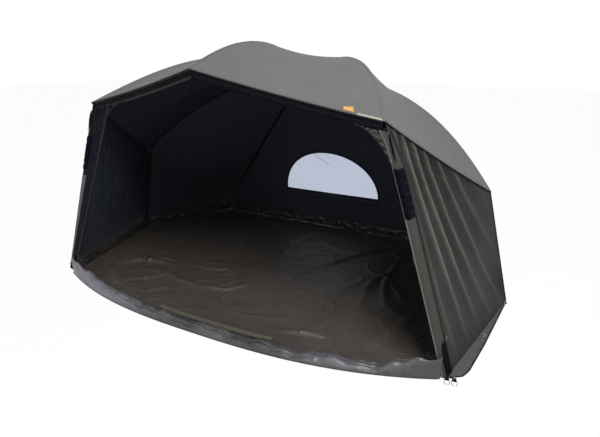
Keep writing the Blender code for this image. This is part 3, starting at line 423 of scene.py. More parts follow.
# the first colour is the painted shade along the creases, the second the clear film
windowFilm = filmMaterial("windowFilm", (0.20, 0.23, 0.29), (0.520, 0.565, 0.680))


def threadMaterial(name, light, dark):
    shade = Shade(name)
    fuzz = shade.noise(shade.place(), 900.0, 2.0, 0.6)
    return shade.wear(
        Base_Color=shade.mix(fuzz, dark, light), Roughness=shade.clamp(0.6 + (fuzz - 0.5) * 0.3)
    )


oliveThread = threadMaterial("oliveThread", (0.085, 0.086, 0.066), (0.045, 0.046, 0.036))
blackThread = threadMaterial("blackThread", (0.030, 0.030, 0.032), (0.012, 0.012, 0.013))
paleThread = threadMaterial("paleThread", (0.300, 0.290, 0.260), (0.180, 0.175, 0.160))
print("materials made:", len(bpy.data.materials))

# the frame's own curves, which every cloth hangs on

shelter = {
    "hub": (0.0, 0.460, 1.205),
    "hubTilt": 47.0,
    "pivotRadius": 0.045,
    "peak": (0.0, -0.659, 1.274),
    "corner": (0.840, -0.505, 1.080),
    "sideCorner": (1.220, 0.240, 0.647),
    "frontFoot": (1.212, -0.575, 0.0035),
    "sideFoot": (1.395, 0.279, 0.0035),
    "rearFoot": (1.049, 0.976, 0.0035),
    "bows": {"front": 0.138, "Corner": 0.183, "Side": 0.227, "Rear": 0.142},
    "skewShares": {"front": -0.098, "Corner": -0.300, "Side": -0.187, "Rear": 0.032},
    "seamOffset": 0.012,
    "seatRadius": 0.030,
    "seatHeight": 0.0103,
    "firstRow": 0.022,
    "sag": 0.026,
    "overhang": 0.012,
    "hemSagShare": 0.35,
    "seamInset": 0.0013,
    "cloth": 0.0009,
}
tilt = math.radians(shelter["hubTilt"])
hubUp = Vector((0, math.sin(tilt), math.cos(tilt)))
upward = Vector((0, 0, 1))
hub, peak, corner, sideCorner, frontFoot, sideFoot, rearFoot = (
    Vector(shelter[name])
    for name in ("hub", "peak", "corner", "sideCorner", "frontFoot", "sideFoot", "rearFoot")
)
roomMiddle = Vector((0, (peak.y + rearFoot.y) / 2, sideCorner.z / 2))
roomAxis = Vector((0, roomMiddle.y))
underneath = Vector((0, 0, -5))  # a point below the floor, for cloth that faces up


def mirrored(point):
    return Vector((-point[0], point[1], point[2]))


toSide = {"right": Vector, "left": mirrored}  # puts a right-hand point on either side


class Rib:
    def __init__(self, tip, bow, skew):
        radial = tip - hub
        self.radial = (radial - hubUp * radial.dot(hubUp)).normalized()
        self.pivot = hub + self.radial * shelter["pivotRadius"]
        self.chord = tip - self.pivot
        along = self.chord.normalized()
        self.outward = (hubUp - along * hubUp.dot(along)).normalized()
        self.tip, self.bow, self.skew = tip, bow, skew

    def at(self, share):
        rise = 4 * share * (1 - share) * (1 + self.skew * (2 * share - 1))
        return self.pivot + self.chord * share + self.outward * (self.bow * rise)

    def way(self, share):
        return (self.at(share + 0.001) - self.at(share - 0.001)).normalized()

    def seam(self, share):
        way = self.way(share)
        out = (self.outward - way * way.dot(self.outward)).normalized()
        return self.at(share) + out * shelter["seamOffset"]

    def seat(self):
        return hub + self.radial * shelter["seatRadius"] + hubUp * shelter["seatHeight"]


ribs = {"front": Rib(peak, shelter["bows"]["front"], shelter["skewShares"]["front"])}
for side, place in toSide.items():
    for name, tip in (("Corner", corner), ("Side", sideCorner), ("Rear", rearFoot)):
        ribs[side + name] = Rib(place(tip), shelter["bows"][name], shelter["skewShares"][name])


def inside(share):
    return min(max(share, 0.0), 1.0)


def sagAt(share, size=None):
    size = shelter["sag"] if size is None else size
    keep = shelter["hemSagShare"]
    return size * (math.sin(math.pi * inside(share)) * (1 - keep / 2) + keep * inside(share))


def onCloth(edgeA, edgeB, share, across, sag=None):
    a, b = edgeA(share), edgeB(share)
    span = b - a
    run = edgeA(share + 0.004) + edgeB(share + 0.004) - edgeA(share - 0.004) - edgeB(share - 0.004)
    normal = span.cross(run).normalized()
    if normal.dot((a + b) / 2 - roomMiddle) < 0:
        normal = -normal
    inset = shelter["seamInset"] / max(span.length, shelter["seamInset"] * 4)
    across = inset + across * (1 - 2 * inset)
    depth = (sagAt(share) if sag is None else sag) * 4 * across * (1 - across)
    return a + span * across - normal * depth, normal


sideRun = ribs["rightSide"].chord.length
bendShare = sideRun / (sideRun + (sideCorner - sideFoot).length)


def cornerLine(rib, foot):
    # along a side rib, then down the corner of the walls to its foot
    top = rib.seam(1)

    def edge(share):
        if share <= bendShare:
            return rib.seam(share / bendShare)
        return top + (foot - top) * ((share - bendShare) / (1 - bendShare))

    return edge


cornerPanels = {"rear_right": "right", "rear_left": "left"}
panels = {}
for name, ribA, ribB in (
    ("roof_front_left", "leftCorner", "front"),
    ("roof_front_right", "front", "rightCorner"),
    ("roof_left", "leftSide", "leftCorner"),
    ("roof_right", "rightCorner", "rightSide"),
    ("rear_left", "leftSide", "leftRear"),
    ("rear_right", "rightSide", "rightRear"),
    ("rear_middle", "leftRear", "rightRear"),
):
    edgeA = ribs[ribA].seam
    if name in cornerPanels:
        edgeA = cornerLine(ribs[ribA], toSide[cornerPanels[name]](sideFoot))
    panels[name] = (ribs[ribA], ribs[ribB], edgeA, ribs[ribB].seam)


def onPanel(name, share, across, sag=None):
    return onCloth(panels[name][2], panels[name][3], share, across, sag)


# where each cloth goes when the frame folds: it moves with one rib or pole, and the way it would gather
# against it is worked out

gatherKeep = {"roof": 0.18, "wall": 0.06, "strip": 0.35}
doorway = Vector((0, -0.7, 0.6))  # the way each front strip would gather towards its pole is worked out from here


def gather(body, lineTop, lineTip, far, keep):
    line = (lineTip - lineTop).normalized()
    aside = far - lineTip
    aside = (aside - line * aside.dot(line)).normalized()
    return {"body": body, "axis": aside, "anchor": lineTip, "keep": keep}


groups = {}
for side, place in toSide.items():
    line = (place(corner), place(frontFoot))
    groups["wall_" + side] = gather("pole_" + side, *line, place(sideFoot), gatherKeep["wall"])
    groups["strip_" + side] = gather("pole_" + side, *line, doorway, gatherKeep["strip"])
    for name, rib, far in (
        ("roof_front_" + side, "Corner", peak),
        ("roof_" + side, "Side", place(corner)),
        ("rear_" + side, "Rear", place(sideCorner)),
    ):
        body = "rib_%s_%s" % (side, rib.lower())
        bone = ribs[side + rib]
        groups[name] = gather(body, bone.pivot, bone.tip, far, gatherKeep["roof"])
bone = ribs["leftRear"]
groups["rear_middle"] = gather("rib_left_rear", bone.pivot, bone.tip, rearFoot, gatherKeep["roof"])


def fold(piece, group):
    move = groups[group]
    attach(piece, move["body"])
    tuple(move["axis"])
    tuple(move["anchor"])
    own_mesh(piece)


def goWith(piece, group, replaced=()):
    if group in groups:
        fold(piece, group)
    else:
        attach(piece, group)
    if replaced:
        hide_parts(*replaced)
    return piece


# mesh helpers

meshLook = {  # how near points merge, and past how many degrees an edge shades sharp
    "weld": 0.00002, "clothSharp": 45, "floorSharp": 60, "pipingSharp": 50,
    "frameSharp": 38, "ringSharp": 60, "sliderSharp": 30,
}


def newObject(name, mesh):
    item = bpy.data.objects.new(name, mesh)
    bpy.context.scene.collection.objects.link(item)
    return item


def meshFrom(name, shape, *materials):
    mesh = bpy.data.meshes.new(name)
    shape.to_mesh(mesh)
    shape.free()
    for material in materials:
        mesh.materials.append(material)
    return mesh


def smoothed(mesh, sharpDegrees):
    mesh.shade_smooth()
    mesh.set_sharp_from_angle(angle=math.radians(sharpDegrees))
    return mesh


def welded(mesh, material, sharpDegrees, outwards=False):
    shape = bmesh.new()
    shape.from_mesh(mesh)
    bmesh.ops.remove_doubles(shape, verts=shape.verts, dist=meshLook["weld"])
    if outwards:
        bmesh.ops.recalc_face_normals(shape, faces=shape.faces)
    shape.to_mesh(mesh)
    shape.free()
    mesh.materials.clear()
    mesh.materials.append(material)
    for face in mesh.polygons:
        face.material_index = 0
    return smoothed(mesh, sharpDegrees)


def baked(item):
    bpy.context.view_layer.update()
    graph = bpy.context.evaluated_depsgraph_get()
    mesh = bpy.data.meshes.new_from_object(item.evaluated_get(graph))
    item.modifiers.clear()
    old = item.data
    item.data = smoothed(mesh, meshLook["clothSharp"])
    bpy.data.meshes.remove(old)
    return item


def runLengths(points):
    runs = [0.0]
    for a, b in zip(points, points[1:]):
        runs.append(runs[-1] + (b - a).length)
    return runs


def clothMesh(name, rows, outer, inner=None, thick=shelter["cloth"], outsideOf=None, crests=None):
    # rows of points become one sheet with its own thickness; the weave follows its UV map in metres
    rows = [[Vector(p) for p in row] for row in rows]
    shape = bmesh.new()
    layer = shape.loops.layers.uv.new("UVMap")
    middle = [row[len(row) // 2] for row in rows]
    down = runLengths(middle)
    across = []
    for row in rows:
        runs = runLengths(row)
        across.append([run - runs[-1] / 2 for run in runs])
    grid = [[shape.verts.new(p) for p in row] for row in rows]
    spots = {}
    for i, row in enumerate(grid):
        for j, vert in enumerate(row):
            spots[vert] = (across[i][j], down[i])
    for upper, lower in zip(grid, grid[1:]):
        if len(upper) == 1:
            for j in range(len(lower) - 1):
                shape.faces.new((upper[0], lower[j + 1], lower[j]))
            continue
        columns = len(upper)
        for j in range(columns - 1):
            shape.faces.new((upper[j], upper[j + 1], lower[j + 1], lower[j]))
    shape.normal_update()
    if outsideOf is not None:
        facing = sum(f.normal.dot(f.calc_center_median() - outsideOf) for f in shape.faces)
        if facing < 0:
            for face in shape.faces:
                face.normal_flip()
    for face in shape.faces:
        for loop in face.loops:
            loop[layer].uv = spots[loop.vert]
    mesh = meshFrom(name, shape, outer, inner or outer)
    # painted light or shade for the material, one value for each point
    if crests is not None:
        mark = mesh.attributes.new("crest", "FLOAT", "POINT")
        mark.data.foreach_set("value", [value for row in crests for value in row])
    item = newObject(name, mesh)
    mesh.shade_smooth()
    skin = item.modifiers.new("thickness", "SOLIDIFY")
    skin.thickness = thick
    skin.offset = 0
    skin.material_offset = 1 if inner else 0
    return baked(item)


def clothArea(rows):
    total = 0.0
    for upper, lower in zip(rows, rows[1:]):
        if len(upper) == 1:
            upper = list(upper) * len(lower)
        for j in range(len(upper) - 1):
            a, b, c, d = (Vector(p) for p in (upper[j], upper[j + 1], lower[j + 1], lower[j]))
            total += ((b - a).cross(c - a).length + (c - a).cross(d - a).length) / 2
    return total


sheetLeast = 0.0101  # the narrowest side that a sheet's worked-out size may have


def declare(rows, restsOn):
    # the cut's size is the cloth's own: its longest row by its longest column
    width = max(runLengths([Vector(p) for p in row])[-1] for row in rows)
    count = min(len(row) for row in rows if len(row) > 1)
    length = 0.0
    for j in range(count):
        column = [Vector(row[min(j, len(row) - 1)]) for row in rows]
        length = max(length, runLengths(column)[-1])
    area = clothArea(rows)
    width, length = max(width, sheetLeast), max(length, sheetLeast)
    length = max(length, area / width)
    while area < 0.3 * width * length:
        width *= 0.9
        length *= 0.95
    list(restsOn)


def cloth(name, rows, outer, group, held, restsOn, slot="canopy_cloth", replaced=(), **making):
    # one sheet: its mesh, what it moves with, and its flat size
    piece = goWith(clothMesh(name, rows, outer, **making), group, replaced)
    declare(rows, restsOn)
    return piece


def tape(name, rows, material, group, restsOn, thick=0.0008, outsideOf=roomMiddle):
    return cloth(name, rows, material, group, "laid", restsOn, thick=thick, outsideOf=outsideOf)


def raised(row, lift):
    return [p + (p - roomMiddle).normalized() * lift for p in row]


def tubeMesh(name, points, radius, sides, material):
    curve = bpy.data.curves.new(name, "CURVE")
    curve.dimensions = "3D"
    curve.bevel_depth = radius
    curve.bevel_resolution = sides
    curve.use_fill_caps = True
    spline = curve.splines.new("POLY")
    spline.points.add(len(points) - 1)
    for knot, spot in zip(spline.points, points):
        knot.co = (*spot, 1)
    guide = newObject(name + "Guide", curve)
    bpy.context.view_layer.update()
    mesh = bpy.data.meshes.new_from_object(guide.evaluated_get(bpy.context.evaluated_depsgraph_get()))
    bpy.data.objects.remove(guide)
    return newObject(name, welded(mesh, material, meshLook["pipingSharp"], outwards=True))


def smoothCopy(node, material, slot, sharp="frameSharp"):
    # a rigid CAD piece with its faces welded, so that it shades as round as it is
    piece = newObject(node + "_finish", welded(nodes[node].data.copy(), material, meshLook[sharp]))
    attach(piece, bodyOf[node])
    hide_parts(node)
    return piece


# stitches: Geometry Nodes run short threads along each sewing line

sewing = {"pitch": 0.0058, "length": 0.0040, "width": 0.0009}


def sewingTree(name, material):
    group = bpy.data.node_groups.new(name, "GeometryNodeTree")
    group.interface.new_socket("Geometry", in_out="INPUT", socket_type="NodeSocketGeometry")
    for label in ("Pitch", "Length", "Width"):
        group.interface.new_socket(label, in_out="INPUT", socket_type="NodeSocketFloat")
    group.interface.new_socket("Geometry", in_out="OUTPUT", socket_type="NodeSocketGeometry")
    tree = Nodes(group)
    line, pitch, length, width = (
        tree.add("NodeGroupInput", {}, out=label) for label in ("Geometry", "Pitch", "Length", "Width")
    )
    curve = tree.add("GeometryNodeMeshToCurve", {}, Mesh=line)
    points = tree.add("GeometryNodeCurveToPoints", {"mode": "LENGTH"}, Curve=curve, Length=pitch)
    turns = Wire(tree, points.socket.node.outputs["Rotation"])
    size = tree.add("ShaderNodeCombineXYZ", {}, X=width, Y=width, Z=length)
    stitch = tree.add("GeometryNodeMeshCube", {}, Size=size)
    copies = tree.add("GeometryNodeInstanceOnPoints", {}, Points=points, Instance=stitch, Rotation=turns)
    real = tree.add("GeometryNodeRealizeInstances", {}, Geometry=copies)
    paint = tree.add("GeometryNodeSetMaterial", {}, Geometry=real, Material=material)
    tree.add("NodeGroupOutput", {}, Geometry=paint)
    return group


sewingTrees = {}


def stitchLines(name, lines, group, material=oliveThread, sizes=sewing):
    if material.name not in sewingTrees:
        sewingTrees[material.name] = sewingTree("sewing_" + material.name, material)
    tree = sewingTrees[material.name]
    verts, edges = [], []
    for line in lines:
        first = len(verts)
        verts += [tuple(p) for p in line]
        edges += [(first + i, first + i + 1) for i in range(len(line) - 1)]
    mesh = bpy.data.meshes.new(name)
    mesh.from_pydata(verts, edges, [])
    item = newObject(name, mesh)
    run = item.modifiers.new("sewing", "NODES")
    run.node_group = tree
    for socket in tree.interface.items_tree:
        if socket.in_out == "INPUT" and socket.name.lower() in sizes:
            run[socket.identifier] = sizes[socket.name.lower()]
    baked(item)
    if not item.data.materials:
        item.data.materials.append(material)
    return goWith(item, group)


# roof and back panels

roofLook = {
    "rows": 54, "columns": 44, "rippleSize": 0.0016, "rippleReach": 0.30, "rippleCounts": (15, 17),
    "ripples": {"roof_front_right": (0.0036, 0.0046), "roof_front_left": (0.0016, 0.0030),
                "roof_right": (0.0016, 0.0014)},
    "bendRipple": 0.0050, "bendReach": 0.34, "unevenness": 0.0014,
}


def fanRipple(spot, centre, along, aside, count, size, reach):
    # small tension folds that run out from a corner
    step = spot - centre
    far = step.length
    turn = math.atan2(step.dot(aside), step.dot(along))
    share = far / reach
    return size * math.sin(count * turn + 3 * noise.noise(spot * 3)) * share * math.exp(1 - share * 1.4)


def panelRows(name, rowsCount, columns, lastShare):
    ribA, ribB, edgeA, edgeB = panels[name]
    seatA, seatB = ribA.seat(), ribB.seat()
    inset = shelter["seamInset"] / (seatB - seatA).length
    rows = [[seatA.lerp(seatB, inset + (1 - 2 * inset) * j / columns) for j in range(columns + 1)]]
    firstShare = shelter["firstRow"] / ribA.chord.length
    tipA, tipB = edgeA(1), edgeB(1)
    span = (tipB - tipA).normalized()
    reach, counts = roofLook["rippleReach"], roofLook["rippleCounts"]
    sizes = roofLook["ripples"].get(name, (roofLook["rippleSize"],) * 2)
    fans = [  # where the tension folds run out from, and how
        (tipA, span, (edgeA(0.5) - tipA).normalized(), counts[0], sizes[0], reach),
        (tipB, -span, (edgeB(0.5) - tipB).normalized(), counts[1], sizes[1], reach),
    ]
    if name in cornerPanels:
        firstShare *= bendShare
        bend = edgeA(bendShare)
        away = (bend.lerp(edgeB(bendShare), 0.5) - bend).normalized()
        down = (tipA - bend).normalized()
        fans.append((bend, away, down, counts[0], roofLook["bendRipple"], roofLook["bendReach"]))
    for i in range(rowsCount + 1):
        share = firstShare + (lastShare - firstShare) * i / rowsCount
        row = []
        for j in range(columns + 1):
            across = j / columns
            spot, normal = onCloth(edgeA, edgeB, share, across)
            calm = min(min(across, 1 - across) * 8, 1) * min(share * 4, 1) * min(max(1.02 - share, 0) * 20, 1)
            ripple = sum(fanRipple(spot, *fan) for fan in fans)
            ripple += roofLook["unevenness"] * noise.noise(spot * 5.5)
            row.append(spot + normal * (ripple * calm))
        rows.append(row)
    return rows


def panelRun(name):
    return max(rib.chord.length for rib in panels[name][:2])


def lastShare(name):  # the roof runs on a little past the ribs' tips
    return 1 + shelter["overhang"] / panelRun(name) if name.startswith("roof") else 1.0


for name in ("roof_front_left", "roof_front_right", "roof_left", "roof_right", "rear_left", "rear_right"):
    rows = panelRows(name, roofLook["rows"], roofLook["columns"], lastShare(name))
    cloth(
        name + "_cloth", rows, roofCloth, name, "stretched", ["hub_body_finish"], replaced=[name],
        inner=liningCloth, outsideOf=roomMiddle,
    )

# the back panel has the window's opening cut through it
window = {
    "rows": 60, "columns": 48, "steps": 60, "cutFrom": 0.55, "cutTo": 1.15, "flat": (2.15, 1.62),
    "half": 0.395, "foot": 0.285, "rise": 0.345, "overlap": 0.016, "below": 0.024,
    "tape": 0.013, "tapeUnder": 0.0015, "tapeThick": 0.0007, "tapeSteps": 80, "tapeDepths": (0.0030, -0.0011),
    "threadLift": 0.0006, "loopAside": 0.190,
}


def backPoint(share, across, depth=0.0):
    spot, normal = onPanel("rear_middle", share, across)
    return spot - normal * depth, normal


def backAt(x, z, depth=0.0):
    # the point of the back panel at this x and height, found by Newton's steps
    share, across, small = 0.72, 0.5 + x * 0.45, 0.001
    for _ in range(6):
        here = backPoint(share, across)[0]
        byShare = (backPoint(share + small, across)[0] - here) / small
        byAcross = (backPoint(share, across + small)[0] - here) / small
        wrongX, wrongZ = x - here.x, z - here.z
        scale = byShare.x * byAcross.z - byShare.z * byAcross.x
        share += (wrongX * byAcross.z - wrongZ * byAcross.x) / scale
        across += (wrongZ * byShare.x - wrongX * byShare.z) / scale
        if abs(wrongX) + abs(wrongZ) < 0.00001:
            break
    return backPoint(share, across, depth)


def windowArch(grow, share):
    turn = math.pi * share
    half, rise = window["half"] + grow, window["rise"] + grow
    return -half * math.cos(turn), window["foot"] + rise * math.sin(turn)


rows = panelRows("rear_middle", window["rows"], window["columns"], 1.0)
backCloth = clothMesh("rear_middle_cloth", rows, roofCloth, liningCloth, outsideOf=roomMiddle)
shape = bmesh.new()
outline = [windowArch(0, i / window["steps"]) for i in range(window["steps"] + 1)]
front = [shape.verts.new((x, window["cutFrom"], z)) for x, z in outline]
back = [shape.verts.new((x, window["cutTo"], z)) for x, z in outline]
shape.faces.new(front)
shape.faces.new(list(reversed(back)))
for i in range(len(outline)):
    k = (i + 1) % len(outline)
    shape.faces.new((front[k], front[i], back[i], back[k]))
bmesh.ops.recalc_face_normals(shape, faces=shape.faces)
cutter = newObject("windowCutter", meshFrom("windowCutter", shape))
hole = backCloth.modifiers.new("window", "BOOLEAN")
hole.object = cutter
hole.operation = "DIFFERENCE"
baked(backCloth)
bpy.data.objects.remove(cutter)
goWith(backCloth, "rear_middle", ["rear_middle"])
holeArea = math.pi / 2 * window["half"] * window["rise"]
clothArea(rows) - holeArea
print("roof and back panels made")

# the film pane, its binding tape, the rolled cover and its toggles

paneLook = {
    "rows": 74, "columns": 120, "depth": 0.0016, "thick": 0.0006, "ripple": 0.0007, "creaseWidth": 0.0042,
    "creases": (  # how strong each fold left in the film is, as bump and as painted shade, and its points as x and height
        (0.75, ((-0.130, 0.640), (-0.075, 0.585), (-0.010, 0.545), (0.050, 0.520))),
        (0.45, ((-0.040, 0.640), (0.005, 0.600), (0.035, 0.585))),
        (0.20, ((-0.280, 0.520), (-0.235, 0.470), (-0.200, 0.440))),
    ),
}


def paneCreaseAndShade(x, z):
    best, spot = 0.0, Vector((x, z))
    for strength, line in paneLook["creases"]:
        for k in range(len(line) - 1):
            a, b = Vector(line[k]), Vector(line[k + 1])
            t = inside((spot - a).dot(b - a) / (b - a).length_squared)
            away = (spot - a.lerp(b, t)).length
            run = (k + t) / (len(line) - 1)
            fade = (1 - run * 0.75) * math.exp(-(away / paneLook["creaseWidth"]) ** 2)
            best = max(best, strength * fade)
    return best


rows, paintedTones = [], []
tall = window["rise"] + window["overlap"] * 1.9
for i in range(paneLook["rows"] + 1):
    z = window["foot"] - window["overlap"] + tall * i / paneLook["rows"]
    height = inside((z - window["foot"]) / (window["rise"] + window["overlap"]))
    half = (window["half"] + window["overlap"]) * math.sqrt(max(1 - height * height, 0.0016))
    places = [half * (2 * j / paneLook["columns"] - 1) for j in range(paneLook["columns"] + 1)]
    row = []
    for x in places:
        spot, normal = backAt(x, z, paneLook["depth"])
        ripple = paneLook["ripple"] * math.sin(x * 26 + z * 17) * noise.noise(spot * 6)
        row.append(spot - normal * abs(ripple))
    rows.append(row)
    # painted shade along the film's creases, one value for each point
    paintedTones.append([paneCreaseAndShade(x, z) for x in places])
cloth(
    "window_pane_film", rows, windowFilm, "rear_middle", "stretched", ["rear_middle_cloth"], "window_pane",
    ["window_pane"], thick=paneLook["thick"], outsideOf=roomMiddle, crests=paintedTones,
)


def archTape(name, depth, material):
    rows = []
    for i in range(window["tapeSteps"] + 1):
        share = i / window["tapeSteps"]
        arch = (windowArch(window["tape"] * k / 3 - window["tapeUnder"], share) for k in range(4))
        rows.append([backAt(x, z, depth)[0] for x, z in arch])
    tape(name, rows, material, "rear_middle", ["rear_middle_cloth"], window["tapeThick"])
    return [row[1].lerp(row[2], 0.5) for row in rows]


archTape("window_tape_inner", window["tapeDepths"][0], liningCloth)
middle = archTape("window_tape_outer", window["tapeDepths"][1], roofCloth)
stitchLines("window_stitches", [raised(middle, window["threadLift"])], "rear_middle")

cover = {
    "radius": 0.0160, "core": 0.0055, "turns": 3.3, "half": 0.405, "depth": 0.0180, "thick": 0.0007,
    "columns": 72, "steps": 84, "softness": 0.0006, "nip": 0.0011, "nipHalf": 0.012,
    "loopGap": 0.0002, "loopHalf": 0.004, "loopThick": 0.0010, "loopTurn": 150, "loopSteps": 28,
}
lean = upward.cross(Vector((1, 0, 0)))
rows = []
for i in range(cover["columns"] + 1):
    x = cover["half"] * (2 * i / cover["columns"] - 1)
    middle, normal = backAt(x, window["foot"] - window["below"], cover["depth"])
    nip = cover["nip"] * math.exp(-((abs(x) - window["loopAside"]) / cover["nipHalf"]) ** 2)
    row = []
    for k in range(cover["steps"] + 1):
        turn = 2 * math.pi * cover["turns"] * k / cover["steps"]
        grow = cover["core"] + (cover["radius"] - cover["core"]) * k / cover["steps"]
        grow += cover["softness"] * noise.noise(Vector((x * 9, turn * 0.6, 2.0))) - nip
        row.append(middle + (upward * math.sin(turn) + lean * math.cos(turn)) * grow)
    rows.append(row)
cloth(
    "window_cover_cloth", rows, liningCloth, "rear_middle", "folded", ["rear_middle_cloth"],
    replaced=["window_cover_roll"], thick=cover["thick"],
)
for side, way in (("left", -1), ("right", 1)):
    middle, normal = backAt(way * window["loopAside"], window["foot"] - window["below"], cover["depth"])
    rows = []
    for i in range(cover["loopSteps"] + 1):
        turn = math.radians(cover["loopTurn"] * (2 * i / cover["loopSteps"] - 1))
        out = upward * math.sin(turn) - normal * math.cos(turn)
        spot = middle + out * (cover["radius"] + cover["loopGap"])
        rows.append([spot + Vector((step * cover["loopHalf"], 0, 0)) for step in (-1, 0, 1)])
    loop = clothMesh("window_loop_" + side, rows, blackWebbing, thick=cover["loopThick"])
    goWith(loop, "rear_middle")
    fold(smoothCopy("window_toggle_" + side, blackNylon, "black_plastic"), "rear_middle")
print("window made")

# side walls, with folds that fan out from each front corner

wallLook = {
    "rows": 96, "columns": 230, "topDrop": 0.0025, "foldCount": 7.6, "fold": 0.017, "sag": 0.012,
    "foldShares": {"right": 1.0, "left": 0.10}, "small": 0.0016,
    "above": 0.50, "fade": 0.75, "calmWidth": 0.084, "calmRun": 0.050, "calmLeast": 0.006, "crest": 0.10,
    "calmShares": (0.36, 0.20), "roofGap": 0.045, "softGap": 0.08, "farShare": 0.42, "nearShare": 0.10,
}


def wallTop(cornerRib, sideRib, across):
    spot, normal = onCloth(cornerRib.seam, sideRib.seam, 1, across, sagAt(1))
    return spot - normal * wallLook["topDrop"]


def insetLine(point, other, distance):
    return point + (other - point).normalized() * distance


def wallRows(side, frontLow, rearLow, crests):
    cornerRib, sideRib = ribs[side + "Corner"], ribs[side + "Side"]
    topFront = wallTop(cornerRib, sideRib, 0)
    topRear = wallTop(cornerRib, sideRib, 1)
    flatNormal = (topRear - topFront).cross(frontLow - topFront).normalized()
    if flatNormal.dot(topFront - roomMiddle) < 0:
        flatNormal = -flatNormal
    edgeWay = (frontLow - topFront).normalized()
    footRun = (rearLow - frontLow).length
    cornerRun = (topRear - rearLow).length
    bend = footRun / (footRun + cornerRun)
    reachOut = topRear - topFront
    away = (reachOut - edgeWay * reachOut.dot(edgeWay)).length
    widest = math.atan2(away, reachOut.dot(edgeWay) + wallLook["above"])
    size = wallLook["fold"] * wallLook["foldShares"][side]
    rows = [[topFront]]
    crests.append([0.0])
    for i in range(1, wallLook["rows"] + 1):
        reach = i / wallLook["rows"]
        lift = wallTop(cornerRib, sideRib, reach) - topFront.lerp(topRear, reach)
        row, paintedTones = [], []
        for j in range(wallLook["columns"] + 1):
            fan = j / wallLook["columns"]
            if fan <= bend:
                far = frontLow.lerp(rearLow, fan / bend)
            else:
                far = rearLow.lerp(topRear, (fan - bend) / (1 - bend))
            spot = topFront.lerp(far, reach) + lift * fan ** 6
            aside = spot - topFront
            along = aside.dot(edgeWay)
            aside = (aside - edgeWay * along).length
            toRoof = reach * (1 - fan) / (1 - bend) * cornerRun
            still, run = (share * along + wallLook["calmLeast"] for share in wallLook["calmShares"])
            still, run = min(wallLook["calmWidth"], still), min(wallLook["calmRun"], run)
            calm = inside((aside - still) / run)
            turn = math.atan2(aside, along + wallLook["above"]) / widest
            warp = turn + 0.012 * noise.noise(Vector((turn * 6, reach * 1.5, 4)))
            wave = math.sin(math.pi * wallLook["foldCount"] * warp)
            ridge = 1 - 2 * math.sqrt(wave * wave + wallLook["crest"] ** 2)
            growth = inside(toRoof / wallLook["roofGap"])
            growth *= inside((1 - reach) / wallLook["farShare"]) * inside(reach / wallLook["nearShare"])
            growth *= 1 - wallLook["fade"] * inside(turn * 1.6 - 0.6)
            strength = 0.95 + 0.35 * noise.noise(Vector((turn * wallLook["foldCount"] * 0.9, 1.0, 7.0)))
            push = size * calm * growth * ridge * strength
            soft = calm * inside(toRoof / wallLook["softGap"])
            small = noise.noise(Vector((fan * 42, reach * 3.0, 1.0))) * math.sin(math.pi * reach)
            small *= wallLook["small"] * soft
            sag = wallLook["sag"] * soft * math.sin(math.pi * reach)
            row.append(spot + flatNormal * (push + small - sag))
            # painted highlight on each fold's crest, fading where the folds fade
            paintedTones.append(inside(0.20 + 0.80 * ridge) ** 1.8 * calm * growth * strength)
        rows.append(row)
        crests.append(paintedTones)
    return rows


for side, place in toSide.items():
    frontLow, rearLow = place(frontFoot), place(sideFoot)
    crests = []
    rows = wallRows(
        side, insetLine(frontLow, rearLow, shelter["seamInset"]),
        insetLine(rearLow, frontLow, shelter["seamInset"]), crests,
    )
    cloth(
        "wall_%s_cloth" % side, rows, wallCloth, "wall_" + side, "hung",
        ["rib_%s_corner_finish" % side, "rib_%s_side_finish" % side], replaced=["wall_" + side],
        inner=liningCloth, outsideOf=roomMiddle, crests=crests,
    )
print("side walls made")

# flat-felled seams over each rib and down the side corners, and the hems

seamLook = {
    "half": 0.009, "rise": 0.0011, "rows": 60, "fromShare": 0.045, "bulge": 0.0007,
    "innerShare": 0.45, "mostAcross": 0.3, "threadShare": 0.6, "threadLift": 1.1,
}


def seamStrip(name, body, sides, toBend):
    # sides are the two panels, each with the edge of it that is sewn: 0 its first, 1 its second
    rows, lines, inner = [], [[], []], seamLook["innerShare"]
    for i in range(seamLook["rows"] + 1):
        row = []
        for (panel, edge), steps in zip(sides, ((1.0, inner), (inner, 1.0))):
            _, _, edgeA, edgeB = panels[panel]
            first, last = seamLook["fromShare"], 1.0
            if panel in cornerPanels:
                first, last = first * bendShare, bendShare if toBend else 1.0
            share = first + (last - first) * i / seamLook["rows"]
            width = (edgeB(share) - edgeA(share)).length
            for step in steps:
                across = step * seamLook["half"] / max(width, seamLook["half"] * 3)
                across = min(across, seamLook["mostAcross"])
                spot, normal = onCloth(edgeA, edgeB, share, across if edge == 0 else 1 - across)
                row.append(spot + normal * seamLook["rise"])
        middle = (row[1] + row[2]) / 2
        lift = (middle - roomMiddle).normalized() * seamLook["bulge"]
        rows.append([row[0], row[1], middle + lift, row[2], row[3]])
        for line, outer, inward in ((lines[0], 0, 1), (lines[1], 3, 2)):
            line.append(row[outer].lerp(row[inward], seamLook["threadShare"]) + lift * seamLook["threadLift"])
    tape(name, rows, roofCloth, body, [panel + "_cloth" for panel, _ in sides])
    stitchLines(name + "_stitches", lines, body)


for name, first, second, toBend in (
    ("front", ("roof_front_left", 1), ("roof_front_right", 0), False),
    ("right_corner", ("roof_front_right", 1), ("roof_right", 0), False),
    ("left_corner", ("roof_left", 1), ("roof_front_left", 0), False),
    ("right_side", ("roof_right", 1), ("rear_right", 0), True),
    ("left_side", ("rear_left", 0), ("roof_left", 0), True),
    ("right_rear", ("rear_right", 1), ("rear_middle", 1), False),
    ("left_rear", ("rear_middle", 0), ("rear_left", 1), False),
):
    seamStrip("seam_" + name, "rib_" + name, (first, second), toBend)
print("seams made")

# the roof's front edge: a turned hem, the band that hangs under it, and the orange tab

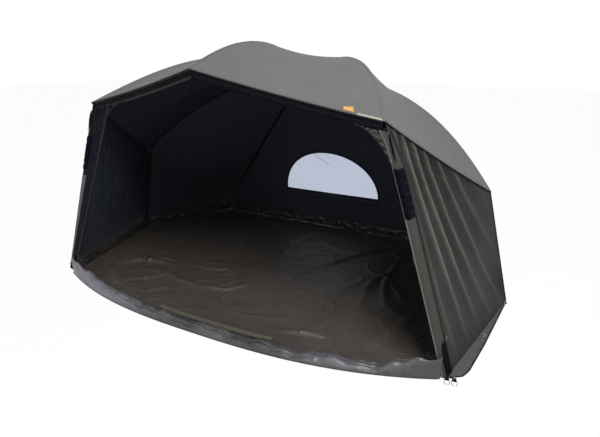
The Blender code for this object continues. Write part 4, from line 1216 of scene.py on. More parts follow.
hem = {  # each kind's ends as shares of the edge, its depth and its lift
    "roof": ((0.004, 0.996), 0.0125, 0.0011),
    "trim": ((0.866, 0.985), 0.0130, 0.0024),
    "rear": ((0.01, 0.99), 0.022, 0.0010),
    "unevenness": 0.0004, "thread": 0.0006, "rows": 4, "columns": 60,
}


def hemStrip(name, panel, kind, material, sewn=()):
    (start, end), depth, lift = hem[kind]
    rows = []
    for i in range(hem["rows"] + 1):
        share = lastShare(panel) - depth / panelRun(panel) * (1 - i / hem["rows"])
        row = []
        for j in range(hem["columns"] + 1):
            spot, normal = onPanel(panel, share, start + (end - start) * j / hem["columns"])
            row.append(spot + normal * (lift + hem["unevenness"] * noise.noise(spot * 40)))
        rows.append(row)
    tape(name, rows, material, panel, [panel + "_cloth"])
    if sewn:
        stitchLines(name + "_stitches", [raised(rows[k], hem["thread"]) for k in sewn], panel)


for name in ("front_left", "front_right", "left", "right"):
    hemStrip("hem_" + name, "roof_" + name, "roof", roofCloth, (1, 3))
hemStrip("hem_trim_right", "roof_front_right", "trim", paleTape)

band = {
    "drop": 0.045, "topDrop": 0.0021, "crinkle": 0.0034, "columns": 230, "rows": 8, "acrossShare": 0.992,
    "run": 0.88, "tapeOut": 0.0012, "tapeThick": 0.0009, "stand": 0.0004, "flare": 0.0008,
    "tapeShares": {"top": (0.05, 0.20), "low": (0.76, 0.985)},
}


def frontEdge(side, across):
    spot, normal = onPanel("roof_front_" + side, 1, across, sagAt(1))
    return spot - normal * band["topDrop"]


def crinkleAt(run, drop):
    broad = 0.7 * noise.noise(Vector((run * 20 - drop * 1.6, drop * 1.4, 3.0)))
    sharp = 1 - 4 * abs(noise.noise(Vector((run * 42 + drop * 2.0, drop * 1.8, 5.0))))
    return broad + 0.6 * sharp


for side, lowTape, replaced in (("left", trimCloth, ["front_band"]), ("right", edgeTape, ())):
    bandRows, group = [], "roof_front_" + side
    fromShare = 1 - band["acrossShare"] if side == "left" else 0
    for i in range(band["rows"] + 1):
        drop = i / band["rows"]
        row = []
        for j in range(band["columns"] + 1):
            across = fromShare + band["acrossShare"] * j / band["columns"]
            push = band["crinkle"] * crinkleAt(across * band["run"], drop)
            push = push * math.sin(math.pi * min(drop * 1.05, 1)) + band["flare"] * drop - band["stand"]
            row.append(frontEdge(side, across) + Vector((0, push, -band["drop"] * drop)))
        bandRows.append(row)
    cloth(
        "front_band_" + side, bandRows, bandCloth, group, "hung", [group + "_cloth"], replaced=replaced,
        inner=liningCloth, outsideOf=roomMiddle,
    )
    for edge, material in (("top", stripCloth), ("low", lowTape)):
        high, low = band["tapeShares"][edge]
        rows = []
        for share in (high, (high + low) / 2, low):
            spot = share * band["rows"]
            first = min(int(spot), band["rows"] - 1)
            rows.append([
                a.lerp(b, spot - first) - Vector((0, band["tapeOut"], 0))
                for a, b in zip(bandRows[first], bandRows[first + 1])
            ])
        tape("band_%s_%s" % (edge, side), rows, material, group, ["front_band_" + side], band["tapeThick"])

tab = {
    "width": 0.043, "across": 0.825, "shares": (0.968, 1.0), "lift": 0.0026, "bulge": 0.0005,
    "thick": 0.0010, "thread": 0.0007, "rows": 8, "columns": 12,
}
hemLength = (corner - peak).length
rows = []
for i in range(tab["rows"] + 1):
    share = tab["shares"][0] + (tab["shares"][1] - tab["shares"][0]) * i / tab["rows"]
    lift = tab["lift"] + tab["bulge"] * math.sin(math.pi * i / tab["rows"])
    row = []
    for j in range(tab["columns"] + 1):
        across = tab["across"] + (j / tab["columns"] - 0.5) * tab["width"] / hemLength
        spot, normal = onPanel("roof_front_right", share, across, sagAt(share))
        row.append(spot + normal * lift)
    rows.append(row)
cloth(
    "orange_tab_cloth", rows, orangeWebbing, "roof_front_right", "laid", ["roof_front_right_cloth"],
    "orange_tab", ["orange_tab"], thick=tab["thick"], outsideOf=roomMiddle,
)
border = rows[1][1:-1] + [row[-2] for row in rows[2:-2]]
border += list(reversed(rows[-2][1:-1])) + [row[1] for row in reversed(rows[2:-2])]
lines = [raised(border + border[:1], tab["thread"])]
stitchLines("orange_tab_stitches", lines, "roof_front_right", blackThread)
print("front edge made")

# front strips over the poles, with their borders, zips and rod straps

stripLook = {
    "sideWidth": 0.062, "sideShare": 0.32, "topGap": 0.004, "rows": 120, "columns": 56, "pucker": 0.0048,
    "right": {"front": 0.020, "gather": 0.043, "power": 16},
    "left": {"front": 0.070, "gather": 0.140, "power": 1},
    "border": 0.0068, "borderLift": 0.0011, "looseBorder": 0.016, "looseExtra": 0.018,
    "pastPole": 0.001, "threadUp": 0.0002, "threadOut": 0.0006,
    "turned": {
        "fromShare": 0.40, "runShare": 0.575, "wide": 0.046, "narrower": 0.034, "lift": 0.0012, "rows": 60,
        "columns": 4,
    },
    "patchLift": 0.0030, "patchRows": 24, "patchColumns": 8, "tuckShares": (0.006, 0.110),
    "tuckSpan": (-0.007, 0.006),
    "guard": 0.150, "guardEnd": 0.9985, "guardSpan": (0.004, 0.0625),
}
cad = {"cloth": 0.002, "gap": 0.0003}


def stripFrame(side):
    place = toSide[side]
    top = wallTop(ribs[side + "Corner"], ribs[side + "Side"], 0)
    rearLow = place(sideFoot)
    foot = insetLine(place(frontFoot), rearLow, shelter["seamInset"])
    down = (foot - top).normalized()
    wallWay = rearLow - top
    wallWay = (wallWay - down * wallWay.dot(down)).normalized()
    wallOut = wallWay.cross(down).normalized()
    if wallOut.x * top.x < 0:
        wallOut = -wallOut
    hemWay = (peak - place(corner)).normalized()
    frontOut = hemWay.cross(down).normalized()
    if frontOut.y > 0:
        frontOut = -frontOut
    length = (foot - top).length
    return {
        "side": side, "group": "strip_" + side, "first": (band["drop"] + stripLook["topGap"]) / length,
        "top": top, "foot": foot, "down": down, "length": length, "wallWay": wallWay, "wallOut": wallOut,
        "frontOut": frontOut, "hem": hemWay, "flat": (hemWay + down * (hemWay.z / -down.z)).normalized(),
        **stripLook[side],
    }


def stripSpot(strip, drop, aside, lift):
    spot = strip["top"].lerp(strip["foot"], drop)
    offWall = cad["cloth"] + cad["gap"] * 3 + lift
    offFront = cad["cloth"] * 0.8 + cad["gap"] + lift
    lean = strip["wallOut"].dot(strip["frontOut"])
    spot = spot + strip["wallOut"] * ((offWall - lean * offFront) / (1 - lean * lean))
    spot = spot + strip["frontOut"] * ((offFront - lean * offWall) / (1 - lean * lean))
    if aside > 0:
        return spot + strip["wallWay"] * aside
    return spot - strip["hem"].lerp(strip["flat"], drop).normalized() * aside


def stripReach(strip, drop):
    front = strip["front"] + strip["gather"] * (1 - drop) ** strip["power"]
    side = min(stripLook["sideWidth"], strip["length"] * drop * stripLook["sideShare"])
    return front, side


def puckers(drop, aside):
    # the cloth is drawn together at the top of the strip and hangs flatter further down
    fade = math.exp(-drop * 5) + 0.12
    wave = noise.noise(Vector((aside * 60, drop * 16, 2.0)))
    wave += 0.6 * noise.noise(Vector((aside * 130, drop * 30, 8.0)))
    folds = math.sin(aside * 240 + drop * 18) * math.exp(-drop * 9)
    return stripLook["pucker"] * max(fade * (wave + folds * 0.8) * 0.7 + 0.15, 0)


def onStrip(strip, drop, aside, lift=0.0):
    return stripSpot(strip, drop, aside, lift + puckers(drop, aside))


def sewnOn(strip, name, rows, material):
    tape(name, rows, material, strip["group"], ["front_strip_%s_cloth" % strip["side"]])


def makeStrip(strip, outer):
    rows, side = [], strip["side"]
    for i in range(stripLook["rows"] + 1):
        drop = strip["first"] + (1 - strip["first"]) * i / stripLook["rows"]
        front, reach = stripReach(strip, drop)
        columns = stripLook["columns"]
        asides = (-front + (reach + front) * j / columns for j in range(columns + 1))
        rows.append([onStrip(strip, drop, aside) for aside in asides])
    piece = clothMesh("front_strip_%s_cloth" % side, rows, outer, liningCloth, outsideOf=roomMiddle)
    piece.data.materials.append(stripCloth)
    for face in piece.data.polygons:  # the part that lies along the wall is the wall's own olive
        onWall = (face.center - strip["top"]).dot(strip["wallWay"]) > stripLook["pastPole"]
        if onWall and face.material_index == 0:
            face.material_index = 2
    goWith(piece, strip["group"], ["front_strip_" + side])
    declare(rows, ["wall_%s_cloth" % side])


def makeBorder(strip, edge, material):
    rows, side = [], strip["side"]
    for i in range(stripLook["rows"] + 1):
        drop = strip["first"] + (1 - strip["first"]) * i / stripLook["rows"]
        front, reach = stripReach(strip, drop)
        wide = stripLook["border"]
        if side == "left" and edge == "doorway":
            wide = stripLook["looseBorder"] + stripLook["looseExtra"] * math.exp(-drop * 2.2)
        start = -front if edge == "doorway" else reach - wide
        rows.append([onStrip(strip, drop, start + wide * k / 3, stripLook["borderLift"]) for k in range(4)])
    sewnOn(strip, "strip_border_%s_%s" % (side, edge), rows, material)
    line = raised([row[1] for row in rows], stripLook["threadUp"])
    line = [p + strip["wallOut"] * stripLook["threadOut"] for p in line]
    stitchLines("strip_stitches_%s_%s" % (side, edge), [line], strip["group"])


def makeTurnedEdge(strip):
    look, rows = stripLook["turned"], []
    for i in range(look["rows"] + 1):
        t = i / look["rows"]
        drop = look["fromShare"] + look["runShare"] * t
        wide = look["wide"] - look["narrower"] * t
        lift = look["lift"] + puckers(drop, 0)
        asides = (-wide * (1 - k / look["columns"]) for k in range(look["columns"] + 1))
        rows.append([stripSpot(strip, drop, aside, lift) for aside in asides])
    sewnOn(strip, "strip_turned_edge_" + strip["side"], rows, roofCloth)


cornerFill = {
    "steps": 14, "columns": 8, "under": 0.002, "behind": 0.0012, "bandBehind": 0.0016, "bandUp": 0.003,
    "tapeOut": 0.0042,
    "left": {
        "down": 0.125, "aside": 0.125, "cloth": shadeCloth, "tapeFrom": 0.022, "tapeTo": 0.010,
        "pleats": 40, "depth": 0.0022,
    },
    "right": {
        "down": 0.205, "aside": 0.105, "cloth": stripCloth, "tapeFrom": 0.006, "tapeTo": 0.005,
        "pleats": 58, "depth": 0.0060,
    },
}


def makeCornerFill(strip):
    # the doorway's rounded top corner, filled with gathered cloth
    side, first, steps, columns = strip["side"], strip["first"], cornerFill["steps"], cornerFill["columns"]
    look = cornerFill[side]
    dropA = look["down"] / strip["length"]
    frontA = stripReach(strip, first)[0]
    edgeLine, lowLine = [], []
    for i in range(steps + 1):
        drop = dropA + (first - dropA) * i / steps
        aside = cornerFill["under"] - stripReach(strip, drop)[0]
        edgeLine.append(stripSpot(strip, drop, aside, -cornerFill["behind"]))
        away = frontA / hemLength + look["aside"] / hemLength * i / steps
        hang = Vector((0, cornerFill["bandBehind"], cornerFill["bandUp"] - band["drop"]))
        lowLine.append(frontEdge(side, away if side == "left" else 1 - away) + hang)
    pointA, pointB, pointC = edgeLine[0], lowLine[0], lowLine[-1]
    outerLine = edgeLine[:-1] + lowLine
    rows, tapeRows = [], []
    count = len(outerLine) - 1
    for i in range(count * 3 + 1):
        t = i / (count * 3)
        inner = pointA * (1 - t) ** 2 + pointB * (2 * t * (1 - t)) + pointC * t * t
        k = min(int(t * count), count - 1)
        outer = outerLine[k].lerp(outerLine[k + 1], t * count - k)
        row = []
        for j in range(columns + 1):
            across = j / columns
            pleat = math.sin(t * look["pleats"] + j * 0.5) * math.sin(math.pi * min(across + 0.1, 1))
            row.append(inner.lerp(outer, across) + strip["frontOut"] * (look["depth"] * pleat))
        rows.append(row)
        wide = look["tapeFrom"] + (look["tapeTo"] - look["tapeFrom"]) * t
        toward = outer - inner
        toward = toward.normalized() if toward.length > 0.001 else (pointB - inner).normalized()
        start = inner + strip["frontOut"] * cornerFill["tapeOut"]
        tapeRows.append([start + toward * (wide * j / 3) for j in range(4)])
    cloth(
        "corner_fill_" + side, rows, look["cloth"], strip["group"], "gathered", ["front_band_" + side],
        inner=liningCloth, outsideOf=roomMiddle,
    )
    tape("corner_binding_" + side, tapeRows, borderCloth, strip["group"], ["corner_fill_" + side])


def makePatch(strip, label, drops, asides, still, shrink):
    # a dark patch that narrows towards the line at still
    rows = []
    for i in range(stripLook["patchRows"] + 1):
        t = i / stripLook["patchRows"]
        drop = drops[0] + (drops[1] - drops[0]) * t
        row = []
        for j in range(stripLook["patchColumns"] + 1):
            aside = asides[0] + (asides[1] - asides[0]) * (j / stripLook["patchColumns"])
            row.append(onStrip(strip, drop, still + (aside - still) * shrink(t), stripLook["patchLift"]))
        rows.append(row)
    sewnOn(strip, "strip_%s_%s" % (label, strip["side"]), rows, edgeTape)


zipLook = {
    "aside": 0.0700, "half": 0.0085, "edgeGap": 0.008, "lastShare": 0.997, "rows": 90, "thick": 0.0006,
    "tapeLift": 0.0002, "coilLift": 0.0008, "coil": {"pitch": 0.0024, "length": 0.0012, "width": 0.0046},
}


def makeZip(strip):
    # the zip's tape and its coil, from the foot up to the band
    rows, coil, side = [], [], strip["side"]
    base = cad["cloth"] / 2 + cad["gap"]
    for i in range(zipLook["rows"] + 1):
        drop = strip["first"] + (zipLook["lastShare"] - strip["first"]) * i / zipLook["rows"]
        edge = strip["length"] * drop * stripLook["sideShare"] + zipLook["edgeGap"]
        middle = strip["top"].lerp(strip["foot"], drop) + strip["wallWay"] * min(zipLook["aside"], edge)
        flat = middle + strip["wallOut"] * (base + zipLook["tapeLift"])
        rows.append([flat + strip["wallWay"] * (zipLook["half"] * step) for step in (-1, 0, 1)])
        coil.append(middle + strip["wallOut"] * (base + zipLook["coilLift"]))
    wall = "wall_" + side
    cloth(
        "zip_tape_" + side, rows, edgeTape, wall, "laid", [wall + "_cloth"], "black_webbing",
        thick=zipLook["thick"], outsideOf=roomMiddle,
    )
    stitchLines("zip_coil_" + side, [coil], wall, zipMetal, zipLook["coil"])


rodStrap = {
    "from": 0.205, "length": 0.215, "rows": 96, "columns": 24, "seams": 5, "edge": 0.002, "lift": 0.0036,
    "thick": 0.0012, "threadLift": 0.0009, "bulges": {"right": 0.0046, "left": 0.0010}, "wave": 0.0005,
    "bars": (2, 10, 29, 48, 67, 86, 94), "leftShare": 0.45,
}


def makeRodStrap(strip):
    # elastic sewn down at intervals, so that it bulges between its seams
    rows, bars, side = [], [], strip["side"]
    for i in range(rodStrap["rows"] + 1):
        t = i / rodStrap["rows"]
        drop = (rodStrap["from"] + rodStrap["length"] * t) / strip["length"]
        front, reach = stripReach(strip, drop)
        bulge = rodStrap["bulges"][side] * abs(math.sin(math.pi * t * rodStrap["seams"])) ** 0.7
        start = rodStrap["edge"] - front
        if side == "left":
            start = reach - (reach + front) * rodStrap["leftShare"]
        row = []
        for j in range(rodStrap["columns"] + 1):
            across = j / rodStrap["columns"]
            aside = start * (1 - across) + (reach - rodStrap["edge"]) * across
            crown = bulge * math.sin(math.pi * across) ** 0.5 if 0 < across < 1 else 0
            wave = rodStrap["wave"] * math.sin(across * 9 + t * 40)
            row.append(stripSpot(strip, drop, aside, rodStrap["lift"] + crown + wave))
        rows.append(row)
        if i in rodStrap["bars"]:
            bars.append([p + strip["wallOut"] * rodStrap["threadLift"] for p in row[10:24]])
    cloth(
        "rod_strap_%s_webbing" % side, rows, blackWebbing, strip["group"], "stretched",
        ["front_strip_%s_cloth" % side], "black_webbing", ["rod_strap_" + side],
        thick=rodStrap["thick"], outsideOf=roomMiddle,
    )
    stitchLines("rod_strap_stitches_" + side, bars, strip["group"], blackThread)


def tuckShrink(t):
    return math.sin(math.pi * (0.15 + 0.80 * t))


def guardShrink(t):
    return 0.62 + 0.38 * min(t / 0.35, 1)


# the left strip's front is near-black with painted shade; the right one is plain strip cloth
for side, outer, border in (("right", stripCloth, roofCloth), ("left", shadeCloth, borderCloth)):
    strip = stripFrame(side)
    makeStrip(strip, outer)
    makeBorder(strip, "doorway", border)
    makeBorder(strip, "wall", edgeTape)
    if side == "left":
        makeTurnedEdge(strip)
    makeCornerFill(strip)
    tuckDrops = [strip["first"] + share for share in stripLook["tuckShares"]]
    guardDrops = (1 - stripLook["guard"] / strip["length"], stripLook["guardEnd"])
    makePatch(strip, "tuck", tuckDrops, stripLook["tuckSpan"], 0, tuckShrink)
    makePatch(strip, "guard", guardDrops, stripLook["guardSpan"], stripLook["guardSpan"][1], guardShrink)
    makeZip(strip)
    makeRodStrap(strip)
print("front strips made")

# webbing down the inside of each side corner, wall hems and the side corner seams

cornerStrap = {
    "top": 0.030, "topIn": 0.0205, "footIn": 0.0134, "footUp": 0.004, "width": 0.035, "rows": 60,
    "columns": 8, "thick": 0.0014, "bulk": 0.25, "bulkShare": 0.22, "bulkHalf": 0.05, "cup": 0.0006,
    "threadLift": 0.0009,
}
sideSeam = {
    "half": 0.010, "rows": 40, "rearLift": 0.0012, "lift": 0.0016, "wallLift": 0.0030, "thread": 0.0032,
}

for side, place in toSide.items():
    top, foot = ribs[side + "Side"].seam(1), place(sideFoot)
    forward = (place(frontFoot) - foot).normalized()
    backward = (place(rearFoot) - foot).normalized()
    inward, sideways = (forward + backward).normalized(), (forward - backward).normalized()
    high = insetLine(top, foot, cornerStrap["top"]) + inward * cornerStrap["topIn"]
    low = foot + inward * cornerStrap["footIn"] + upward * cornerStrap["footUp"]
    rows, lines = [], [[], []]
    for i in range(cornerStrap["rows"] + 1):
        t = i / cornerStrap["rows"]
        away = (t - cornerStrap["bulkShare"]) / cornerStrap["bulkHalf"]
        bulk = cornerStrap["bulk"] * math.exp(-away ** 2)
        row = []
        for j in range(cornerStrap["columns"] + 1):
            step = (j / cornerStrap["columns"] - 0.5) * cornerStrap["width"]
            cup = cornerStrap["cup"] * bulk * 4 * math.cos(step * 80)
            row.append(high.lerp(low, t) - sideways * step + inward * cup)
        rows.append(row)
        for line, spot in zip(lines, (row[1], row[-2])):
            line.append(spot + inward * cornerStrap["threadLift"])
    rear = "rear_" + side
    cloth(
        "corner_webbing_%s_strap" % side, rows, liningWebbing, rear, "hung", ["wall_%s_cloth" % side],
        "black_webbing", ["corner_webbing_" + side], thick=cornerStrap["thick"],
    )
    stitchLines("corner_webbing_stitches_" + side, lines, rear, blackThread)

    # the outside seam down the side corner
    rows, line = [], []
    for i in range(sideSeam["rows"] + 1):
        share = bendShare + (0.999 - bendShare) * i / sideSeam["rows"]
        edge, _ = onPanel(rear, share, 0.0)
        onRear, normal = onPanel(rear, share, sideSeam["half"])
        onWall = edge + (place(frontFoot) - edge).normalized() * sideSeam["half"]
        out = edge - roomMiddle
        out = Vector((out.x, out.y, 0)).normalized()
        rows.append([
            onRear + normal * sideSeam["rearLift"],
            edge + out * sideSeam["lift"],
            onWall + out * sideSeam["wallLift"],
        ])
        line.append(edge.lerp(onWall, 0.6) + out * sideSeam["thread"])
    tape("side_seam_" + side, rows, wallCloth, rear, [rear + "_cloth"])
    stitchLines("side_seam_stitches_" + side, [line], rear)
for panel in ("rear_left", "rear_middle", "rear_right"):
    hemStrip("hem_" + panel, panel, "rear", wallCloth, (0, 3))
print("corner webbing and hems made")

# side flaps with their eyelets

flap = {
    "width": 0.063, "tuck": 0.012, "rows": 90, "columns": 12, "height": 0.0016, "binding": 0.007,
    "widthsAlong": (0.0, 0.020, 0.046, 0.072, 0.108, 0.141, 0.417, 0.941, 0.990),
    "widthShares": (0.05, 0.13, 0.56, 0.86, 0.95, 1.0, 0.79, 0.16, 0.08),
    "swell": 0.0022, "crinkle": 0.0008, "threadLift": 0.0008, "bindingLift": 0.0011,
    "eyelets": ((0.505, 0.0085), (0.955, 0.010625)), "eyeletHeight": 0.0042, "holeDrop": 0.0012,
}
footLine = (sideFoot - frontFoot).normalized()
footSide = Vector((-footLine.y, footLine.x, 0)).normalized()
if footSide.x < 0:
    footSide = -footSide
flapRun = (sideFoot - frontFoot).length


def flapWidth(share):
    along, across = flap["widthsAlong"], flap["widthShares"]
    for k in range(len(along) - 1):
        if share <= along[k + 1]:
            t = (share - along[k]) / (along[k + 1] - along[k])
            return flap["width"] * (across[k] + (across[k + 1] - across[k]) * t)
    return flap["width"] * across[-1]


def roundAt(middle, radius, share):
    turn = 2 * math.pi * share
    return middle + Vector((math.cos(turn), math.sin(turn), 0)) * radius


def eyelet(name, middle, group, radius):
    ring = bmesh.new()
    count, around, thick = 28, 10, radius * 0.30
    loops = []
    for i in range(count):
        loop = []
        for k in range(around):
            roll = 2 * math.pi * k / around
            spot = roundAt(middle, radius + thick * math.cos(roll), i / count)
            loop.append(ring.verts.new(spot + upward * (thick * 0.55 * math.sin(roll))))
        loops.append(loop)
    for i in range(count):
        here, there = loops[i], loops[(i + 1) % count]
        for k in range(around):
            n = (k + 1) % around
            ring.faces.new((here[k], there[k], there[n], here[n]))
    bmesh.ops.recalc_face_normals(ring, faces=ring.faces)
    mesh = meshFrom(name, ring, ringMetal)
    mesh.shade_smooth()
    goWith(newObject(name, mesh), group)


# a dark disc in an eyelet's hole: painted shade where the hole shows shaded ground
def shadeDisc(name, middle, radius, group, count=24, thick=0.0006):
    plug = bmesh.new()
    rim = [plug.verts.new(roundAt(middle, radius, i / count)) for i in range(count)]
    low = [plug.verts.new(v.co - upward * thick) for v in rim]
    plug.faces.new(rim)
    plug.faces.new(list(reversed(low)))
    for i in range(count):
        k = (i + 1) % count
        plug.faces.new((rim[k], rim[i], low[i], low[k]))
    bmesh.ops.recalc_face_normals(plug, faces=plug.faces)
    goWith(newObject(name, meshFrom(name, plug, edgeTape)), group)


for side, place in toSide.items():
    rows, edgeRows, line, group = [], [], [], "wall_" + side
    for i in range(flap["rows"] + 1):
        share = 0.008 + 0.982 * i / flap["rows"]
        reach = flapWidth(share) + flap["tuck"]
        base = frontFoot + footLine * (flapRun * share) - footSide * flap["tuck"]
        base.z = flap["height"]
        row = []
        for j in range(flap["columns"] + 1):
            t = j / flap["columns"]
            swell = max(noise.noise(Vector((share * 12, t * 1.5, 6.0))), 0) * math.sin(math.pi * t)
            crinkle = max(noise.noise(Vector((share * 50, t * 4, 1.0))), 0)
            rise = flap["swell"] * swell + flap["crinkle"] * crinkle
            row.append(place(base + footSide * (reach * t) + upward * rise))
        rows.append(row)
        line.append(row[-3] + upward * flap["threadLift"])
        edge, inward = row[-1] + upward * flap["bindingLift"], (row[0] - row[-1]).normalized()
        edgeRows.append([edge + inward * (flap["binding"] * t) for t in (1.0, 0.5, 0.04)])
    cloth(
        "side_flap_%s_cloth" % side, rows, flapCloth, group, "laid", [group + "_cloth"],
        replaced=["side_flap_" + side], outsideOf=underneath,
    )
    tape(
        "side_flap_binding_" + side, edgeRows, borderCloth, group, ["side_flap_%s_cloth" % side],
        outsideOf=underneath,
    )
    stitchLines("side_flap_stitches_" + side, [line], group)
    for k, (share, radius) in enumerate(flap["eyelets"]):
        aside = max(flapWidth(share) * 0.45, 0.004)
        spot = frontFoot + footLine * (flapRun * share) + footSide * aside
        spot = place((spot.x, spot.y, flap["eyeletHeight"]))
        eyelet("flap_eyelet_%s_%d" % (side, k), spot, group, radius)
        # painted shade inside the eyelet
        shadeDisc("flap_hole_%s_%d" % (side, k), spot - upward * flap["holeDrop"], radius * 0.9, group)
print("side flaps made")

# peg tabs: webbing loops that hold the D-rings

peg = {
    "width": 0.018, "length": 0.018, "thick": 0.0014, "spread": 0.031, "turn": 10.0, "eyeRadius": 0.0038,
    "fromFootX": 0.003, "fromFootY": 0.012, "backAlong": 0.060, "backOut": 0.018,
    "rootY": 0.0005, "under": 0.0015, "least": 0.0013, "over": (0.0044, 0.0034), "overEnd": 0.001,
    "boxHalf": 0.0065, "boxFrom": -0.0015, "boxTo": -0.0075, "boxUp": 0.0048,
    "thread": {"pitch": 0.0026, "length": 0.0018, "width": 0.0006},
    "root": (0.0018, -0.001, -0.004), "rootUp": 0.0052, "rootFall": 0.0012, "rootThick": 0.0012,
}
pegTurn = math.radians(peg["turn"])


def frameAt(origin, xWay, zWay):
    xWay = xWay.normalized()
    yWay = zWay.cross(xWay).normalized()
    zWay = xWay.cross(yWay)
    return Matrix((
        (xWay.x, yWay.x, zWay.x, origin.x), (xWay.y, yWay.y, zWay.y, origin.y),
        (xWay.z, yWay.z, zWay.z, origin.z), (0, 0, 0, 1),
    ))


rightPeg = frameAt(
    Vector((frontFoot.x + peg["fromFootX"], frontFoot.y + peg["fromFootY"], 0)),
    Vector((math.cos(pegTurn), math.sin(pegTurn), 0)), upward,
)
leftSpot = frontFoot + footLine * peg["backAlong"] + footSide * peg["backOut"]
leftPeg = frameAt(
    Vector((-leftSpot.x, leftSpot.y, cad["gap"] * 2 + cad["cloth"])), mirrored(footSide), upward
)
bulge, eyeUp = peg["eyeRadius"] - peg["thick"] / 2, peg["eyeRadius"] + cad["gap"] * 2
profile = [(peg["rootY"], peg["under"]), (-peg["length"] * 0.55, peg["under"])]
for i in range(15):  # round the ring's bar and back over the top
    turn = math.radians(-90 - 190 * i / 14)
    profile.append((bulge * math.cos(turn) - peg["length"], eyeUp + bulge * math.sin(turn)))
profile += [(-peg["length"] * 0.45, peg["over"][0]), (-peg["overEnd"], peg["over"][1])]
for side, place in (("right", rightPeg), ("left", leftPeg)):
    pole, restsOn = "pole_" + side, ["front_strip_%s_cloth" % side]
    for k in range(2):
        offset = peg["spread"] * k
        across = [offset + peg["width"] * (j / 10 - 0.5) for j in range(11)]
        rows = [[place @ Vector((x, y, max(z, peg["least"]))) for x in across] for y, z in profile]
        cloth(
            "peg_loop_%s_%d" % (side, k), rows, blackWebbing, pole, "folded", restsOn, "black_webbing",
            thick=peg["thick"],
        )
        box = [
            place @ Vector((offset + peg["boxHalf"] * way, y, peg["boxUp"]))
            for way, y in ((-1, peg["boxFrom"]), (1, peg["boxFrom"]), (1, peg["boxTo"]), (-1, peg["boxTo"]))
        ]
        lines = [box + box[:1], [box[0], box[2]], [box[1], box[3]]]
        name = "peg_stitches_%s_%d" % (side, k)
        stitchLines(name, lines, pole, paleThread, peg["thread"])
    across = [-peg["width"] / 2 + (peg["spread"] + peg["width"]) * j / 16 for j in range(17)]
    rows = [
        [place @ Vector((x, y, peg["rootUp"] + peg["rootFall"] * abs(y) / peg["root"][-1])) for x in across]
        for y in peg["root"]
    ]
    cloth(
        "peg_root_" + side, rows, blackWebbing, pole, "folded", restsOn, "black_webbing",
        ["peg_tabs_" + side], thick=peg["rootThick"], outsideOf=underneath,
    )
print("peg tabs made")

# groundsheet: floor, raised side and crumpled front lip

ground = {
    "thick": 0.003, "frontY": -0.800, "bow": 0.210, "power": 2.6, "cornerX": 1.172, "shiftX": 0.018,
    "bowHalf": 1.190, "inset": 0.034, "poleGap": 0.018, "poleIn": 0.016, "poleBack": 0.026,
    "rings": 96, "spokes": 420, "frontSteps": 48, "middleY": 0.10,
    "top": 0.0018, "rimTop": 0.0016, "under": 0.0006,
    "creaseHeight": 0.0210, "creaseWidth": 0.016, "creaseReach": 0.12, "wrinkle": 0.75, "swell": 0.0060,
    "unevenness": 0.0024, "flat": (2.70, 1.80), "slack": 1.004,
}


def sheetFront(x):
    return ground["frontY"] + ground["bow"] * min(abs(x) / ground["bowHalf"], 1) ** ground["power"]


def drawnIn(point, inset):
    spot = Vector((point[0], point[1]))
    return spot + (roomAxis - spot).normalized() * inset


poleX, poleY = frontFoot.x - ground["poleIn"], frontFoot.y + ground["poleBack"]
gap = ground["poleGap"]
nearSide = [
    (poleX - gap, poleY - gap * 0.6),
    (poleX - gap, poleY + gap),
    (frontFoot.x - ground["inset"] + gap / 3, poleY + gap * 1.6),
    tuple(drawnIn(sideFoot, ground["inset"])),
    tuple(drawnIn(rearFoot, ground["inset"])),
]
outline = []
for i in range(ground["frontSteps"] + 1):
    x = ground["shiftX"] + ground["cornerX"] * (2 * i / ground["frontSteps"] - 1)
    outline.append((x, sheetFront(x)))
outline.append((ground["shiftX"] + ground["cornerX"], poleY - gap * 1.2))
outline += nearSide
outline += [(-x, y) for x, y in reversed(nearSide)]
outline.append((ground["shiftX"] - ground["cornerX"], poleY - gap * 1.2))

creaseLines = [
    ((.628, .734), (.497, .588), (.371, .398), (.27, .184), (.189, -.106)),
    ((.798, .41), (.676, .262), (.632, .082), (.655, -.118), (.665, -.271)),
    ((.696, .493), (.701, .235), (.75, -.002), (.821, -.16)),
    ((.665, -.011), (.566, -.096), (.506, -.227), (.523, -.372)),
    ((.569, -.406), (.635, -.507), (.676, -.631)),
    ((-.986, -.366), (-.852, -.259), (-.609, -.219)),
    ((.944, -.186), (.864, -.39), (.823, -.509)),
    ((-1.016, -.427), (-.77, -.595)),
    ((-.565, .323), (-.136, -.272)),
]

wrinkleLines = [
    ((-.508, -.383), (-.308, -.398)),
    ((.372, -.589), (.53, -.547), (.705, -.521)),
    ((-1.014, -.370), (-.898, -.271), (-.740, -.176), (-.525, -.176)),
    ((-.829, -.370), (-.683, -.353), (-.551, -.355), (-.426, -.380)),
    ((-.790, -.537), (-.660, -.458), (-.571, -.333)),
    ((-.925, -.445), (-.739, -.602)),
    ((-.540, .267), (-.300, -.034)),
    ((-.491, .359), (-.249, .133)),
    ((-.535, -.585), (-.445, -.473)),
    ((-.550, -.162), (-.342, -.162), (-.212, -.062)),
    ((-.297, -.373), (-.122, -.356), (-.030, -.223)),
]


def softLine(points):
    fine = []
    for k in range(len(points) - 1):
        p0 = Vector(points[max(k - 1, 0)])
        p1, p2 = Vector(points[k]), Vector(points[k + 1])
        p3 = Vector(points[min(k + 2, len(points) - 1)])
        for i in range(6):
            t = i / 6
            fine.append(
                0.5 * ((2 * p1) + (p2 - p0) * t + (2 * p0 - 5 * p1 + 4 * p2 - p3) * t * t
                       + (3 * p1 - p0 - 3 * p2 + p3) * t ** 3)
            )
    fine.append(Vector(points[-1]))
    return fine


creases = [(softLine(line), 1.0) for line in creaseLines]
creases += [(softLine(line), ground["wrinkle"]) for line in wrinkleLines]


